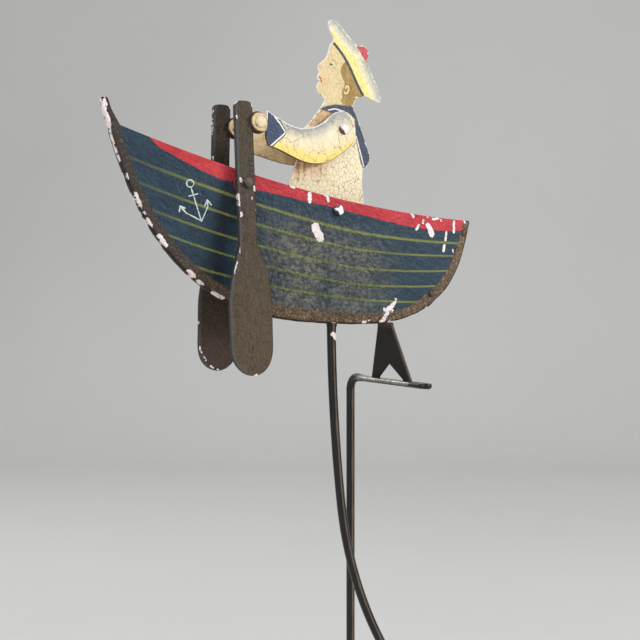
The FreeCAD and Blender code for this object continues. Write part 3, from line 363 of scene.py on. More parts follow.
def stand_rod_rings():
    """Upright, quarter bend and arm: a ring of two half circles joined by flats, in each place.

    The half width and half thickness change along the path; the tip closes like a half disc.
    """
    bottom = 1000 * (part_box("stand_rod")[0].z - PIVOT_Z)
    corner = ARM_Z - BEND_RADIUS
    up = np.linspace(bottom, corner, UPRIGHT_ROWS)
    turn = np.linspace(0, math.pi / 2, 28)[1:]
    out = np.concatenate([np.linspace(NECK_FROM, ARM_TIP + ARM_HALF_WIDTH, 160)[1:],
                          ARM_TIP + ARM_HALF_WIDTH * (1 - np.sin(np.linspace(0, 1.5708, 18)[1:]))])
    path_y = np.concatenate([np.full(UPRIGHT_ROWS, ROD_Y), NECK_FROM + BEND_RADIUS * np.cos(turn), out])
    path_z = np.concatenate([up, corner + BEND_RADIUS * np.sin(turn), np.full(len(out), ARM_Z)])
    lean = np.concatenate([np.zeros(UPRIGHT_ROWS), turn, np.full(len(out), math.pi / 2)])
    flat = np.where(lean > 1.57, 1 - ease(path_y, NECK_TO, NECK_FROM), 0)
    past_tip = np.clip((ARM_TIP + ARM_HALF_WIDTH - path_y) / ARM_HALF_WIDTH, 0, 1)
    round_off = np.sqrt(1 - past_tip ** 2)
    half_width = (ROD_RADIUS + (ARM_HALF_WIDTH - ROD_RADIUS) * flat) * round_off
    half_thick = np.minimum(ROD_RADIUS + (ARM_HALF_THICK - ROD_RADIUS) * flat, half_width)
    angle = full_turn(AROUND)
    reach = (half_width - half_thick)[:, None]
    side = reach * np.clip(1.8 * np.cos(angle), -1, 1) + half_thick[:, None] * np.cos(angle)
    rise = half_thick[:, None] * np.sin(angle)
    hammer = 0.09 * waves(path_y[:, None] / 3 + path_z[:, None] / 9, angle, 3)
    rise = rise + hammer * flat[:, None]
    on_top = np.sin(angle) > 0
    stand = ease(np.abs(path_y), GROOVE_FROM - 0.3, GROOVE_FROM + 0.3)
    stand = (stand * (1 - ease(np.abs(path_y), GROOVE_TO - 0.3, GROOVE_TO + 0.3)))[:, None]
    groove = GROOVE_DEEP * np.exp(-(side / GROOVE_HALF) ** 4) * stand
    dish = DISH_DEEP * np.exp(-(side / DISH_HALF) ** 4) * ease(-path_y, 29, 34)[:, None]
    dish = dish * (1 - ease(-path_y, 43, 46))[:, None]
    rise = rise - on_top * flat[:, None] * (groove + dish)
    outward_y, outward_z = -np.cos(lean)[:, None], np.sin(lean)[:, None]
    y = path_y[:, None] - outward_y * rise
    z = path_z[:, None] + outward_z * rise
    # Distance round the rod from its port side, where the painted reflection runs.
    wear_and_reflection = np.arccos(np.clip(-outward_y * np.sin(angle) * -1, -1, 1)) * ROD_RADIUS
    rings = places_at(side, y, z)
    # Bare steel on the upper side of the flat only: rubbed by the foot, and a painted highlight along
    # the top.
    bare = flat[:, None] * (1 - ease(-path_y, 28, 31)[:, None]) * ease(np.sin(angle), -0.5, 0.1)
    marks = {"port": np.broadcast_to(wear_and_reflection, side.shape), "flat": bare}
    return closed_ends(rings), {label: with_ends(values) for label, values in marks.items()}


def mark(here, name):
    """One of the piece's own painted-on numbers."""
    return put(here, "Attribute", out="Fac", attribute_name=name)


def chip_recipe(place, distance, rough):
    """Knocked-off paint: the distance to a chip, roughened by noise, gives mask and dark lip."""
    away = distance + (noise(place, 620.0, 3.0, 0.6) - 0.5) * rough * 2.0
    return [band(away, 0.12, -0.12), band(away, 0.75, 0.1)]


CHIP = effect("chip", {"Vector": None, "Distance": 5.0, "Rough": 1.2}, ["Mask", "Lip"], chip_recipe)
WHITE_PRIMER = (252, 246, 246)
PINK_PRIMER = (242, 220, 216)


def primer(here):
    """Primer laid bare: white, pink in places."""
    return blend(mottle(here, 7.0, 1.1), WHITE_PRIMER, PINK_PRIMER)


def stretched(here, x=1.0, y=1.0, z=1.0):
    """Coordinates scaled along each axis, so that a pattern runs along the piece."""
    return put(here, "Mapping", {"Vector": here, "Scale": (x, y, z)})


def rod_paint(name, chipped=False):
    """Black enamel with a tan painted reflection down the port side, and pale bare steel on the flat
    that is also a painted highlight.
    """
    material, shader, here = finish(name)
    long = stretched(here, 1, 1, 0.22)
    tone = mottle(long, 9.0, 1.0)
    fine = mottle(here, 0.9, 1.2)
    port, flat = mark(here, "port"), mark(here, "flat")
    # Painted reflection: a tan line down the rod's port side.
    line = band(port + noise(long, 260.0, 3.0) * 1.6, 1.62, 1.12)
    colour = blend(tone, (9, 9, 12), (24, 22, 21))
    colour = blend(line * 0.75, colour, (112, 94, 70))
    # Pale bare steel where the foot rubs, made bright enough to stand in for a painted highlight along
    # the top.
    steel = blend(fine, (176, 168, 156), (206, 200, 188))
    bare = flat * band(tone, -0.2, 0.7)
    colour = blend(bare * 0.85, colour, steel)
    if chipped:
        lost = use(CHIP, Vector=here, Distance=mark(here, "chip"), Rough=1.2)
        colour = blend(lost["Mask"], colour, primer(here))
    feed(shader, {"Metallic": spread(bare, 0.15, 0.85)})
    coat(shader, colour, spread(tone, 0.2, 0.36), fine, 0.05)
    return material


ROD_BLACK = rod_paint("rod_black")
rod_rings, rod_marks = stand_rod_rings()
rod = surface("stand_rod_bent", rod_rings, rod_marks, ring=True)
settle(rod, "stand", "black_paint", ROD_BLACK, "stand_rod")
smooth_copy("rod_collar", "stand", CAST_BLACK, 0.6)


def plated_finish():
    """Zinc-plated steel of bought nuts and washers: pale grey with dull patches."""
    material, shader, here = finish("zinc", Metallic=1.0)
    tone = mottle(here, 2.5, 1.2)
    dull = flakes(here, 3.0, 0.58)
    colour = blend(tone, (128, 128, 124), (176, 176, 170))
    colour = blend(dull * 0.4, colour, (104, 92, 76))
    coat(shader, colour, spread(tone, 0.3, 0.5), tone, 0.04)
    return material


ZINC = plated_finish()
smooth_copy("rod_washer", "stand", ZINC, 0.2)
smooth_copy("rod_nut", "stand", ZINC, 0.3)

# ---------------------------------------------------------------- keel bar
# Flat bar bent on edge into horn, stem, keel and stern post. Its front was dragged and knocked,
# so the brown paint is off down to white primer along most of the stem.
KEEL_POINTS = [(-224.5, 188), (-210.68, 146.69), (-182.46, 95.39), (-134.83, 57.17),
               (-53.98, 41.44), (-12.82, 41), (10.7, 44.48), (43.63, 62.26), (61.56, 89.7),
               (69.5, 118.3)]
BAR_HALF = 2.25
HORN_ROUND = 2.4
# Depth of the bar in its own plane, at lengths from the horn's tip.
BAR_DEPTHS = [(0, 4.4), (9, 5.2), (17, 6.8), (25, 8.6), (34, 8.4), (60, 7.0)]


def spline(points, count):
    """Natural cubic spline through the points, at even steps of the chords' length."""
    points = np.array(points, float)
    if len(points) == 2:
        return points[0] + (points[1] - points[0]) * np.linspace(0, 1, count)[:, None]
    chord = np.linalg.norm(np.diff(points, axis=0), axis=1)
    knot = np.concatenate([[0], np.cumsum(chord)])
    size = len(knot)
    bend = np.eye(size)
    load = np.zeros((size, points.shape[1]))
    inner = np.arange(1, size - 1)
    bend[inner, inner] = 2 * (chord[:-1] + chord[1:])
    bend[inner, inner - 1] = chord[:-1]
    bend[inner, inner + 1] = chord[1:]
    slope = np.diff(points, axis=0) / chord[:, None]
    load[1:-1] = 6 * np.diff(slope, axis=0)
    moment = np.linalg.solve(bend, load)
    at = np.linspace(0, knot[-1], count)
    step = np.clip(np.searchsorted(knot, at, side="right") - 1, 0, size - 2)
    width = chord[step][:, None]
    ahead = (knot[step + 1] - at)[:, None]
    behind = (at - knot[step])[:, None]
    curve = (moment[step] * ahead ** 3 + moment[step + 1] * behind ** 3) / (6 * width)
    curve = curve + (points[step] / width - moment[step] * width / 6) * ahead
    return curve + (points[step + 1] / width - moment[step + 1] * width / 6) * behind


keel_line = spline(KEEL_POINTS, 1500)

# Places where the paint is knocked off boat and stem: both ends and half the width, in the side
# view, with aft and up positive.
CHIPS = [(-75.0, 109.6, -70.4, 101.8, 2.9), (-72.0, 103.0, -69.2, 103.6, 1.6),
         (-95.0, 136.9, -92.6, 136.2, 1.0), (-81.1, 132.2, -80.6, 126.8, 1.4),
         (-67.4, 131.0, -66.2, 127.8, 1.0), (-69.6, 131.4, -68.4, 131.2, 0.6),
         (5.6, 121.2, 8.2, 118.6, 0.9), (11.8, 109.6, 13.4, 112.8, 1.1),
         (17.4, 116.4, 17.8, 114.6, 1.0), (22.3, 113.4, 25.4, 110.0, 2.0),
         (25.0, 110.4, 27.4, 106.8, 2.5), (27.4, 117.9, 33.0, 118.4, 0.9),
         (21.0, 119.2, 22.4, 118.8, 0.6), (35.6, 118.2, 37.0, 116.6, 0.7),
         (50.4, 116.6, 51.2, 109.4, 1.3), (42.8, 108.4, 42.2, 103.2, 1.1),
         (41.5, 98.6, 40.9, 94.8, 1.3), (51.0, 95.4, 51.6, 94.2, 0.7),
         (62.6, 118.2, 63.4, 116.6, 1.0), (-1.2, 58.8, -0.8, 58.0, 0.9),
         (-2.4, 55.4, -1.6, 56.4, 1.4), (-5.2, 52.0, -3.6, 53.8, 2.0),
         (-8.2, 50.6, -6.8, 52.0, 1.8), (-8.0, 46.6, -6.8, 48.4, 1.6),
         (-3.2, 49.8, -2.6, 50.4, 0.9), (-10.2, 44.4, -9.2, 45.6, 1.3),
         (-10.8, 52.2, -10.2, 50.4, 0.6), (-11.8, 42.6, -8.6, 43.2, 1.3),
         (-4.8, 42.0, -3.8, 42.8, 0.9), (1.6, 42.4, 2.4, 43.0, 0.6),
         (-27.0, 42.2, -25.0, 42.6, 1.0), (-22.2, 43.4, -21.6, 44.0, 0.6),
         (-53.8, 41.6, -50.2, 41.8, 0.8), (-208.8, 141.2, -207.6, 138.4, 1.2),
         (-202.0, 128.4, -198.6, 120.8, 1.5), (-196.2, 116.8, -195.4, 115.6, 0.8),
         (-193.6, 112.2, -190.8, 108.0, 1.2), (-185.4, 101.4, -181.0, 95.2, 1.6),
         (-184.2, 98.6, -182.6, 97.0, 2.1), (-164.4, 78.6, -160.4, 75.4, 1.4),
         (-162.8, 76.2, -161.6, 75.0, 1.9), (-157.8, 71.6, -154.2, 69.6, 1.3),
         (-146.4, 63.6, -139.2, 60.0, 1.4), (15.8, 46.0, 17.4, 46.6, 0.6),
         (28.0, 51.6, 29.0, 52.2, 0.6)]


def stroke_distance(x, z, strokes):
    """Distance to the nearest stroke less its half width: negative inside it."""
    nearest = np.full(np.broadcast(x, z).shape, 50.0)
    for x0, z0, x1, z1, half in strokes:
        run_x, run_z = x1 - x0, z1 - z0
        along = ((x - x0) * run_x + (z - z0) * run_z) / (run_x ** 2 + run_z ** 2)
        along = np.clip(along, 0, 1)
        away = np.hypot(x - x0 - along * run_x, z - z0 - along * run_z) - half
        nearest = np.minimum(nearest, away)
    return nearest


def bar_rings():
    """A rounded oblong carried along the keel line, thin at the horn, with uneven hammered edges."""
    line = keel_line[::4]
    rise = (line[0] - line[1]) / np.linalg.norm(line[0] - line[1])
    crown = line[0] + rise * np.linspace(HORN_ROUND, 0.3, 8)[:, None]
    line = np.concatenate([crown, line])
    ahead = np.gradient(line, axis=0)
    ahead = ahead / np.linalg.norm(ahead, axis=1, keepdims=True)
    inward = np.stack([-ahead[:, 1], ahead[:, 0]], axis=1)
    run = np.concatenate([[0], np.cumsum(np.linalg.norm(np.diff(line, axis=0), axis=1))])
    depth = np.interp(run, *np.array(BAR_DEPTHS).T)
    tip = np.sqrt(1 - np.clip(1 - run / HORN_ROUND, 0, 1) ** 2)
    angle = full_turn(40)
    box_x = np.clip(1.5 * np.cos(angle), -1, 1) * 0.78 + 0.22 * np.cos(angle)
    box_y = np.clip(1.5 * np.sin(angle), -1, 1) * 0.72 + 0.28 * np.sin(angle)
    half = (depth / 2 * tip)[:, None]
    into = half * box_x * (1 + 0.05 * waves(run[:, None] / 5, angle, 11)) + depth[:, None] / 2
    into = into + 0.4 * waves(run[:, None] / 3, 0 * angle, 12)
    across = BAR_HALF * tip[:, None] * box_y * (1 + 0.04 * waves(run[:, None] / 6, angle, 13))
    x = line[:, :1] + inward[:, :1] * into
    z = line[:, 1:] + inward[:, 1:] * into
    rings = places_at(x, across, z)
    front = into + 0 * x
    return closed_ends(rings), run, front


def keel_marks(rings, run, front):
    """For the paint: distance to a chip and to the front edge."""
    x, z = rings[..., 0], rings[..., 2]
    edge = with_ends(front)
    along = with_ends(run[:, None] + 0 * front)
    # The stem's front edge is bare nearly without a break for the first 44 mm.
    width = 1.5 + 0.9 * np.sin(along / 3.1) * np.sin(along / 5.3 + 1)
    bare = edge - width + np.maximum(along - 40, 0) * 0.5
    bare = np.minimum(bare, np.where(along < 7, edge - 3.2, 50))
    chips = stroke_distance(x, z, CHIPS) + 0.9 * np.exp(-edge / 0.6)
    return {"chip": np.minimum(chips, bare), "edge": edge}


def vector(operation, first, second, out=0):
    """One sum of two places; output 1 is the sum's number."""
    return put(first, "VectorMath", {0: first, 1: second}, out, operation=operation)


def shifted(place, size, detail, reach):
    """Places pushed about by noise, by a part of the size, and how many sizes to a metre."""
    scale = 1000.0 / size
    centred = vector("SUBTRACT", noise(place, scale, detail, out=1), (0.5, 0.5, 0.5))
    shift = put(place, "VectorMath", {0: centred, "Scale": size * reach}, operation="SCALE")
    return vector("ADD", place, shift), scale


def to_edge(place, scale):
    """Distance to the nearest border between cells."""
    ends = {"Vector": place, "Scale": scale}
    return put(place, "TexVoronoi", ends, "Distance", feature="DISTANCE_TO_EDGE")


def crackle_recipe(place, cell, crack):
    """Old paint crazed into small cells: the cracks, the cells' raised middles and tones."""
    warped, scale = shifted(place, cell, 3.0, 0.0011)
    edge = to_edge(warped, scale)
    colour = put(place, "TexVoronoi", {"Vector": warped, "Scale": scale}, "Color")
    tone = put(place, "SeparateColor", {0: colour})
    return [spread(edge, 1.0, 0.0, 0.0, crack), band(edge, 0.0, 0.3), tone]


CRACKLE = effect("crackle", {"Vector": None, "Cell": 3.0, "Crack": 0.08},
                 ["Line", "Height", "Tone"], crackle_recipe)
BROWN_DARK = (52, 43, 37)
BROWN = (92, 76, 61)
BROWN_LIGHT = (158, 128, 94)
BROWN_BOW = (52, 48, 45)


def brown_paint(here, light):
    """Crackled brown over black: cells of three browns with dark cracks; gives colour, height."""
    crazed = use(CRACKLE, Vector=here, Cell=2.9, Crack=0.15)
    tone = mottle(here, 5.0, 1.5)
    patch = mottle(here, 38.0, 1.0)
    colour = blend(tone, BROWN_DARK, BROWN)
    pale = (crazed["Tone"] * 0.4 + patch * 0.5) * light
    colour = blend(pale, colour, BROWN_LIGHT)
    colour = blend(crazed["Line"] * 0.8, colour, (30, 24, 20))
    bow = band(put(here, "SeparateXYZ", {0: here}, "X"), -0.115, -0.175) * 0.82
    colour = blend(bow, colour, BROWN_BOW)
    return colour, crazed["Height"]


def keel_finish():
    """Brown stem and keel with bare primer, dark lips round the chips and dark weld below."""
    material, shader, here = finish("keel_brown", Specular_IOR_Level=0.22)
    colour, height = brown_paint(here, 0.8)
    lost = use(CHIP, Vector=here, Distance=mark(here, "chip"), Rough=1.3)
    front = band(mark(here, "edge"), 1.3, 0.5)
    colour = blend(front * 0.75, colour, (36, 28, 26))
    colour = blend(lost["Lip"] * 0.75, colour, (34, 26, 26))
    specks = flakes(here, 3.4, 0.56)
    colour = blend(lost["Mask"] * (1.0 - specks), colour, primer(here))
    fine = mottle(here, 1.2, 1.0)
    coat(shader, colour, spread(fine, 0.42, 0.7), height - lost["Mask"], 0.5)
    return material


KEEL_BROWN = keel_finish()
keel_rings, keel_run, keel_front = bar_rings()
keel = surface("keel_bar_bent", keel_rings, keel_marks(keel_rings, keel_run, keel_front), ring=True)
settle(keel, "boat", "keel_paint", KEEL_BROWN, "keel_bar")

# ---------------------------------------------------------------- hull plates
# Two sides cut from 1.2 mm sheet, bowed by hand and welded to the bar. Painted teal blue with
# a red gunwale, brown keel band, ruled plank lines and an anchor; knocked white in many places.
SHEER_LOW, SHEER_RISE, SHEER_RUN, STERN_X = 118.3, 54.0, 280.5, 69.5
PLATE_EDGE = 3.5
HALF_BEAM = 21.5
WIDEST_X = -45.0
BULGE = 0.35
PLATE = 1.2
RED_WIDTH = [(-194, 0.0), (-187, 4.5), (-180, 5.3), (-173, 6.8), (-160, 9.0), (-146, 10.3),
             (-135, 8.9), (-120, 9.3), (-96, 7.8), (-60, 6.8), (-31, 7.8), (7, 9.7), (41, 9.3),
             (59, 8.2), (70, 8.0)]
BROWN_WIDTH = [(-225, 6.0), (-200, 6.2), (-152, 7.8), (-101, 9.3), (-56, 8.7), (-14, 8.3),
               (15, 8.4), (29, 10.2), (48, 9.0), (70, 7.0)]
# Two rivets each side that pin the plates to the bar at the stern, painted over.
BUTTONS = [(62.2, 109.0), (32.0, 62.8)]
BUTTON_RADIUS, BUTTON_RISE = 2.7, 1.9
# Depth of each plank line below the gunwale: at the bow, amidships and at the stern.
PLANK_DEPTHS = [(18.5, 20.5, 18.0), (32.0, 32.0, 27.5), (46.5, 45.0, 39.0), (58.8, 56.8, 50.0),
                (73.0, 67.0, 62.0)]
PLANK_AT = (-150.0, -40.0, 45.0)
ANCHOR = [(-165.5, 133.6, -157.7, 112.0), (-166.6, 128.0, -161.0, 129.6),
          (-157.6, 111.8, -163.6, 114.8), (-163.6, 114.8, -168.2, 116.9),
          (-168.2, 116.9, -172.0, 121.0), (-172.4, 121.4, -172.7, 117.8),
          (-172.4, 121.4, -169.0, 120.0), (-157.4, 111.8, -153.6, 121.2),
          (-153.6, 121.2, -154.3, 125.8), (-154.3, 126.0, -155.6, 121.9),
          (-154.3, 126.0, -151.3, 122.6)]
ANCHOR_RING, ANCHOR_RING_RADIUS = (-166.2, 136.4), 2.4


def sheer(x):
    """Height of the gunwale, a parabola rising to the bow."""
    return SHEER_LOW + SHEER_RISE * ((STERN_X - x) / SHEER_RUN) ** 2


def gunwale_breadth(x):
    """Half breadth at the gunwale: a parabola each way from the widest place."""
    run = np.where(x > WIDEST_X, STERN_X - WIDEST_X, SHEER_RUN - STERN_X + WIDEST_X)
    wide = PLATE_EDGE + (HALF_BEAM - PLATE_EDGE) * (1 - ((x - WIDEST_X) / run) ** 2)
    return np.maximum(wide, PLATE_EDGE)


def hull_grid(side):
    """One side: upright columns from the keel line to the gunwale, rounded by the bulge."""
    x = np.concatenate([np.linspace(-218.0, -200, 20), np.linspace(-199, 46, 222),
                        np.linspace(46.6, 68.9, 38)])
    notch = (0.5 + 0.7 * ease(x, 5, 30)) * waves(x / 3.5, 0, 22)
    low = np.interp(x, keel_line[:, 0], keel_line[:, 1]) + 0.9 + notch
    part = np.linspace(0, 1, 76)[:, None]
    z = low + (sheer(x) - low) * part
    y = PLATE_EDGE + (gunwale_breadth(x) - PLATE_EDGE) * (part + BULGE * part * (1 - part))
    x = x[None] + 0 * z
    dent = 0.16 * waves(x / 14, z / 9, 21) * np.sin(math.pi * part)
    return places_at(x, side * (y + dent), z)


def line_distance(x, z, line):
    """Distance to a drawn line, to its nearest point."""
    shape = np.broadcast(x, z).shape
    flat_x, flat_z = np.ravel(x + 0 * z), np.ravel(z + 0 * x)
    away = [np.hypot(flat_x[part, None] - line[None, ::3, 0],
                     flat_z[part, None] - line[None, ::3, 1]).min(axis=1)
            for part in np.array_split(np.arange(flat_x.size), 1 + flat_x.size // 4000)]
    return np.concatenate(away).reshape(shape)


def hull_marks(grid):
    """For the paint: how far each place is inside red, brown, plank lines, sheen and chips."""
    x, z = grid[..., 0], grid[..., 2]
    depth = sheer(x) - z
    red_x, red = np.array(RED_WIDTH).T
    brown_x, brown = np.array(BROWN_WIDTH).T
    keel = line_distance(x, z, keel_line)
    lines = np.array([np.interp(x, PLANK_AT, row) for row in PLANK_DEPTHS])
    plank = np.zeros(depth.shape)
    edges = np.concatenate([0 * lines[:1], lines, lines[-1:] + 14])
    for step in range(len(edges) - 1):
        part = (depth - edges[step]) / (edges[step + 1] - edges[step])
        plank = plank + np.clip(part, 0, 1)
    # Where the painted sheen lies: amidships, away from the gunwale.
    sheen = ease(x, -135, -85) * (1 - ease(x, -50, 12)) * ease(depth, 8, 42)
    fade = ease(x, -205, -150)
    # Painted shadow of the oar, cast on the hull just forward of it.
    handle = -133.5 - 4.5 * ease(depth, 12, 55)
    oar_shadow = np.exp(-((x - handle + 6.5) / 5.5) ** 2) * (0.55 + 0.45 * ease(depth, 5, 30))
    return {"red": np.interp(x, red_x, red) - depth, "brown": np.interp(x, brown_x, brown) - keel,
            "plank": plank, "sheen": sheen, "fade": fade, "oar_shadow": oar_shadow,
            "chip": stroke_distance(x, z, CHIPS), "keel": keel}


def wrinkle_recipe(place, size):
    """Paint that shrank as it dried, like old leather: swells parted by winding creases.

    The creases are the borders of drawn-out cells whose places are shifted by noise.
    """
    warped, scale = shifted(place, size, 2.0, 0.0026)
    edge = to_edge(warped, scale)
    fine = noise(warped, scale * 2.6, 3.0, 0.6)
    away = edge + (fine - 0.5) * 0.5
    return [band(away, 0.1, 0.0), band(away, 0.0, 0.3) * 0.65 + band(fine, 0.3, 0.7) * 0.35]


WRINKLE = effect("wrinkle", {"Vector": None, "Size": 6.0}, ["Crease", "Height"], wrinkle_recipe)


def stroke_recipe(place, start, end):
    """Distance in millimetres, in the side view, from a place to a straight brush stroke."""
    run, away = vector("SUBTRACT", end, start), vector("SUBTRACT", place, start)
    over = vector("DOT_PRODUCT", away, run, 1) / vector("DOT_PRODUCT", run, run, 1)
    along = put(run, "VectorMath", {0: run, "Scale": band(over, 0, 1)}, operation="SCALE")
    left = vector("SUBTRACT", away, along)
    return [put(left, "VectorMath", {0: left}, 1, operation="LENGTH")]


STROKE = effect("stroke", {"Vector": None, "Start": None, "End": None}, ["Distance"], stroke_recipe)


def side_view(here):
    """Millimetres aft and up from the rocking axis, with across left out."""
    ends = {"Vector": here, "Location": (0, 0, -1000 * PIVOT_Z), "Scale": (1000, 0, 1000)}
    return put(here, "Mapping", ends)


def brushed(flat, strokes):
    """Distance to the nearest of several brush strokes."""
    nearest = None
    for x0, z0, x1, z1 in strokes:
        away = use(STROKE, Vector=flat, Start=(x0, 0, z0), End=(x1, 0, z1))["Distance"]
        nearest = away if nearest is None else maths("MINIMUM", nearest, away)
    return nearest


def hull_finish():
    """The boat's side: crazed teal, a grey painted sheen amidships, lines, anchor, bands and chips."""
    material, shader, here = finish("hull_teal", Specular_IOR_Level=0.35)
    slow = mottle(here, 26.0, 1.0)
    quick = mottle(stretched(here, 0.75, 1, 1.35), 3.0, 1.2)
    creased = use(WRINKLE, Vector=stretched(here, 1.1, 1.0, 1.0), Size=11.0)
    sheen = mark(here, "sheen")
    colour = blend(slow, (20, 44, 66), (36, 64, 80))
    colour = blend(quick * 0.5, colour, (50, 74, 84))
    turned = put(here, "Mapping", {"Vector": here, "Rotation": (0, math.radians(-20), 0)})
    brushing = mottle(stretched(turned, 0.25, 1, 1.7), 4.0, 1.3)
    colour = blend(brushing * 0.45, colour, (16, 32, 50))
    # Painted shade in the creases of the wrinkled paint.
    colour = blend(creased["Crease"] * 0.3, colour, (18, 32, 46))
    # Painted sheen: amidships the teal gives way to grey, a painted reflection on the wrinkled paint,
    # with painted shade in its creases.
    grey = blend(quick, (60, 70, 72), (138, 134, 118))
    grey = blend(creased["Crease"] * 0.62, grey, (32, 38, 40))
    painted_sheen = sheen * band(slow, -0.4, 0.5)
    colour = blend(painted_sheen * 0.85, colour, grey)
    # Painted shadow of the oar: the teal darkened just forward of it.
    oar_shadow = mark(here, "oar_shadow") * 0.75
    colour = blend(oar_shadow, colour, (14, 20, 32))
    # Plank lines, thin and a little broken, fainter towards the bow.
    plank = mark(here, "plank")
    away = abs(maths("MODULO", plank + 0.5, 1.0) - 0.5)
    line = band(away + (quick - 0.5) * 0.03, 0.076, 0.044)
    line = line * band(plank, 0.45, 0.55) * band(plank, 5.5, 5.4)
    line = line * spread(mark(here, "fade"), 0.3, 1.0) * spread(quick, 0.75, 1.0)
    line = line * (1.0 - creased["Crease"] * (sheen * 0.6))
    olive = blend(slow, (106, 114, 50), (134, 138, 62))
    colour = blend(line, colour, olive)
    # Anchor in white, with its ring.
    flat = side_view(here)
    ring_x, ring_z = ANCHOR_RING
    ring = abs(vector("DISTANCE", flat, (ring_x, 0, ring_z), 1) - ANCHOR_RING_RADIUS)
    shape = maths("MINIMUM", brushed(flat, ANCHOR), ring)
    anchor = band(shape + (quick - 0.5) * 0.35, 0.5, 0.2)
    colour = blend(anchor, colour, (214, 222, 216))
    # Red gunwale and brown keel band, both with a hand-painted edge.
    hand = (quick - 0.5) * 0.7
    red = band(mark(here, "red") + hand, -0.15, 0.15)
    crimson = blend(slow, (180, 38, 50), (212, 62, 68))
    crimson = blend(quick * 0.5, crimson, (160, 36, 48))
    # The red band darkened by the same painted shadow of the oar.
    crimson = blend(oar_shadow * 0.55, crimson, (84, 16, 34))
    colour = blend(red, colour, crimson)
    brown = band(mark(here, "brown") + hand * 2.2, -0.2, 0.3)
    earth, earth_height = brown_paint(here, 1.0)
    colour = blend(brown, colour, earth)
    edge = band(mark(here, "keel"), 2.0, 0.9)
    colour = blend(edge * 0.8, colour, (40, 30, 26))
    # Chips to the primer, with a thin dark lip.
    lost = use(CHIP, Vector=here, Distance=mark(here, "chip"), Rough=1.3)
    colour = blend(lost["Lip"] * 0.45, colour, (30, 34, 40))
    colour = blend(lost["Mask"], colour, primer(here))
    height = creased["Height"] * spread(sheen, 0.2, 1.0) + quick * 0.12 + brushing * 0.12
    height = height + earth_height * (brown * 0.3) - lost["Mask"] * 0.3
    coat(shader, colour, spread(quick, 0.34, 0.55), height, 2.3)
    return material


def inside_finish():
    """Inside of the boat: thin dark brown over primer, dusty and patchy."""
    material, shader, here = finish("hull_inside", Roughness=0.8)
    tone = mottle(here, 8.0, 1.1)
    orange_tint = flakes(here, 9.0, 0.6)
    crazed = use(CRACKLE, Vector=here, Cell=3.0, Crack=0.12)
    colour = blend(tone, (52, 44, 40), (84, 72, 62))
    colour = blend(orange_tint * 0.5, colour, (112, 76, 52))
    colour = blend(crazed["Line"] * 0.4, colour, (30, 26, 24))
    coat(shader, colour, None, crazed["Height"], 0.15)
    return material


def walled(piece, thickness, offset, bevel, inner=0):
    """Gives a sheet its thickness and softens its cut edges."""
    wall = piece.modifiers.new("wall", "SOLIDIFY")
    wall.thickness = thickness / 1000
    wall.offset = offset
    wall.use_even_offset = False
    wall.material_offset = inner
    softened(piece, bevel)
    return piece


def face_towards(piece, side):
    """Turns a sheet's faces so that its front is on the given side of the boat."""
    mesh = piece.data
    normals = np.zeros(len(mesh.polygons) * 3, np.float32)
    mesh.polygons.foreach_get("normal", normals)
    if normals[1::3].sum() * side < 0:
        mesh.flip_normals()
    return piece


def button_rings(x, y, z, side):
    """A low dome on the plate: rings from its foot, just inside the sheet, up to its crown."""
    climb = np.linspace(0, math.pi / 2, 9)[:, None]
    angle = full_turn(28)
    reach = BUTTON_RADIUS * np.cos(climb)
    out = side * (BUTTON_RISE * np.sin(climb) - 0.3)
    dome = places_at(x + reach * np.cos(angle), y + out, z + reach * np.sin(angle))
    foot = np.broadcast_to(dome[:1].mean(axis=1, keepdims=True), dome[:1].shape)
    return np.concatenate([foot, dome])


SIDES = ((-1, "port"), (1, "starboard"))
HULL_TEAL, HULL_INSIDE = hull_finish(), inside_finish()
for side, label in SIDES:
    sheet = hull_grid(side)
    plate = surface(f"hull_side_{label}", sheet, hull_marks(sheet))
    walled(face_towards(plate, side), PLATE, -1, 0.3, 1)
    settle(plate, "boat", "hull_paint", [HULL_TEAL, HULL_INSIDE], f"hull_plate_{label}")
    for step, (x, z) in enumerate(BUTTONS):
        near = np.hypot(sheet[..., 0] - x, sheet[..., 2] - z).argmin()
        places = button_rings(x, sheet[..., 1].ravel()[near], z, side)
        lip = np.linspace(-1.3, 2.4, len(places))[:, None]
        button = surface(f"stern_rivet_{label}_{step}", places, {"chip": 20, "edge": lip}, ring=True)
        settle(button, "boat", "keel_paint", KEEL_BROWN)

# ---------------------------------------------------------------- foot
# A cut from 2 mm plate, welded under the keel. Its two points are ground round where they
# stand in the grooves of the arm. Satin black-brown, rubbed lighter on its edges.
FOOT_LEAN = math.radians(7.5)
FOOT_TOP, FOOT_OUT, FOOT_IN, FOOT_NOTCH = 8.25, 25.75, 16.75, 11.7
FOOT_PLATE = 2.0


def foot_grid():
    """Rows up the plate and columns across it; below the notch the middle columns part."""
    top = 1000 * (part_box("a_foot")[1].z - PIVOT_Z) / math.cos(FOOT_LEAN)
    rise = np.concatenate([np.linspace(-0.9, FOOT_NOTCH, 26), np.linspace(FOOT_NOTCH, top, 50)[1:]])
    rise = rise[:, None]
    part = np.linspace(0, 1, 22)[None]
    outer = FOOT_OUT + (FOOT_TOP - FOOT_OUT) * np.clip(rise, 0, top) / top
    inner = FOOT_IN * np.clip(1 - np.maximum(rise, 0) / FOOT_NOTCH, 0, 1)
    weld = 2.2 * np.exp(-(top - rise) / 1.4) * (0.7 + 0.5 * waves(rise / 2, part * 9, 31))
    half = inner + (outer - inner) * part
    half = half + weld * part
    across = np.concatenate([-half[:, ::-1], half], axis=1)
    up = rise + 0 * across
    x, z = -up * math.sin(FOOT_LEAN), up * math.cos(FOOT_LEAN)
    span = np.concatenate([(1 - part)[:, ::-1], (1 - part)], axis=1) * (outer - inner)
    return places_at(x, across, z), {"edge": np.abs(span), "up": up / top}


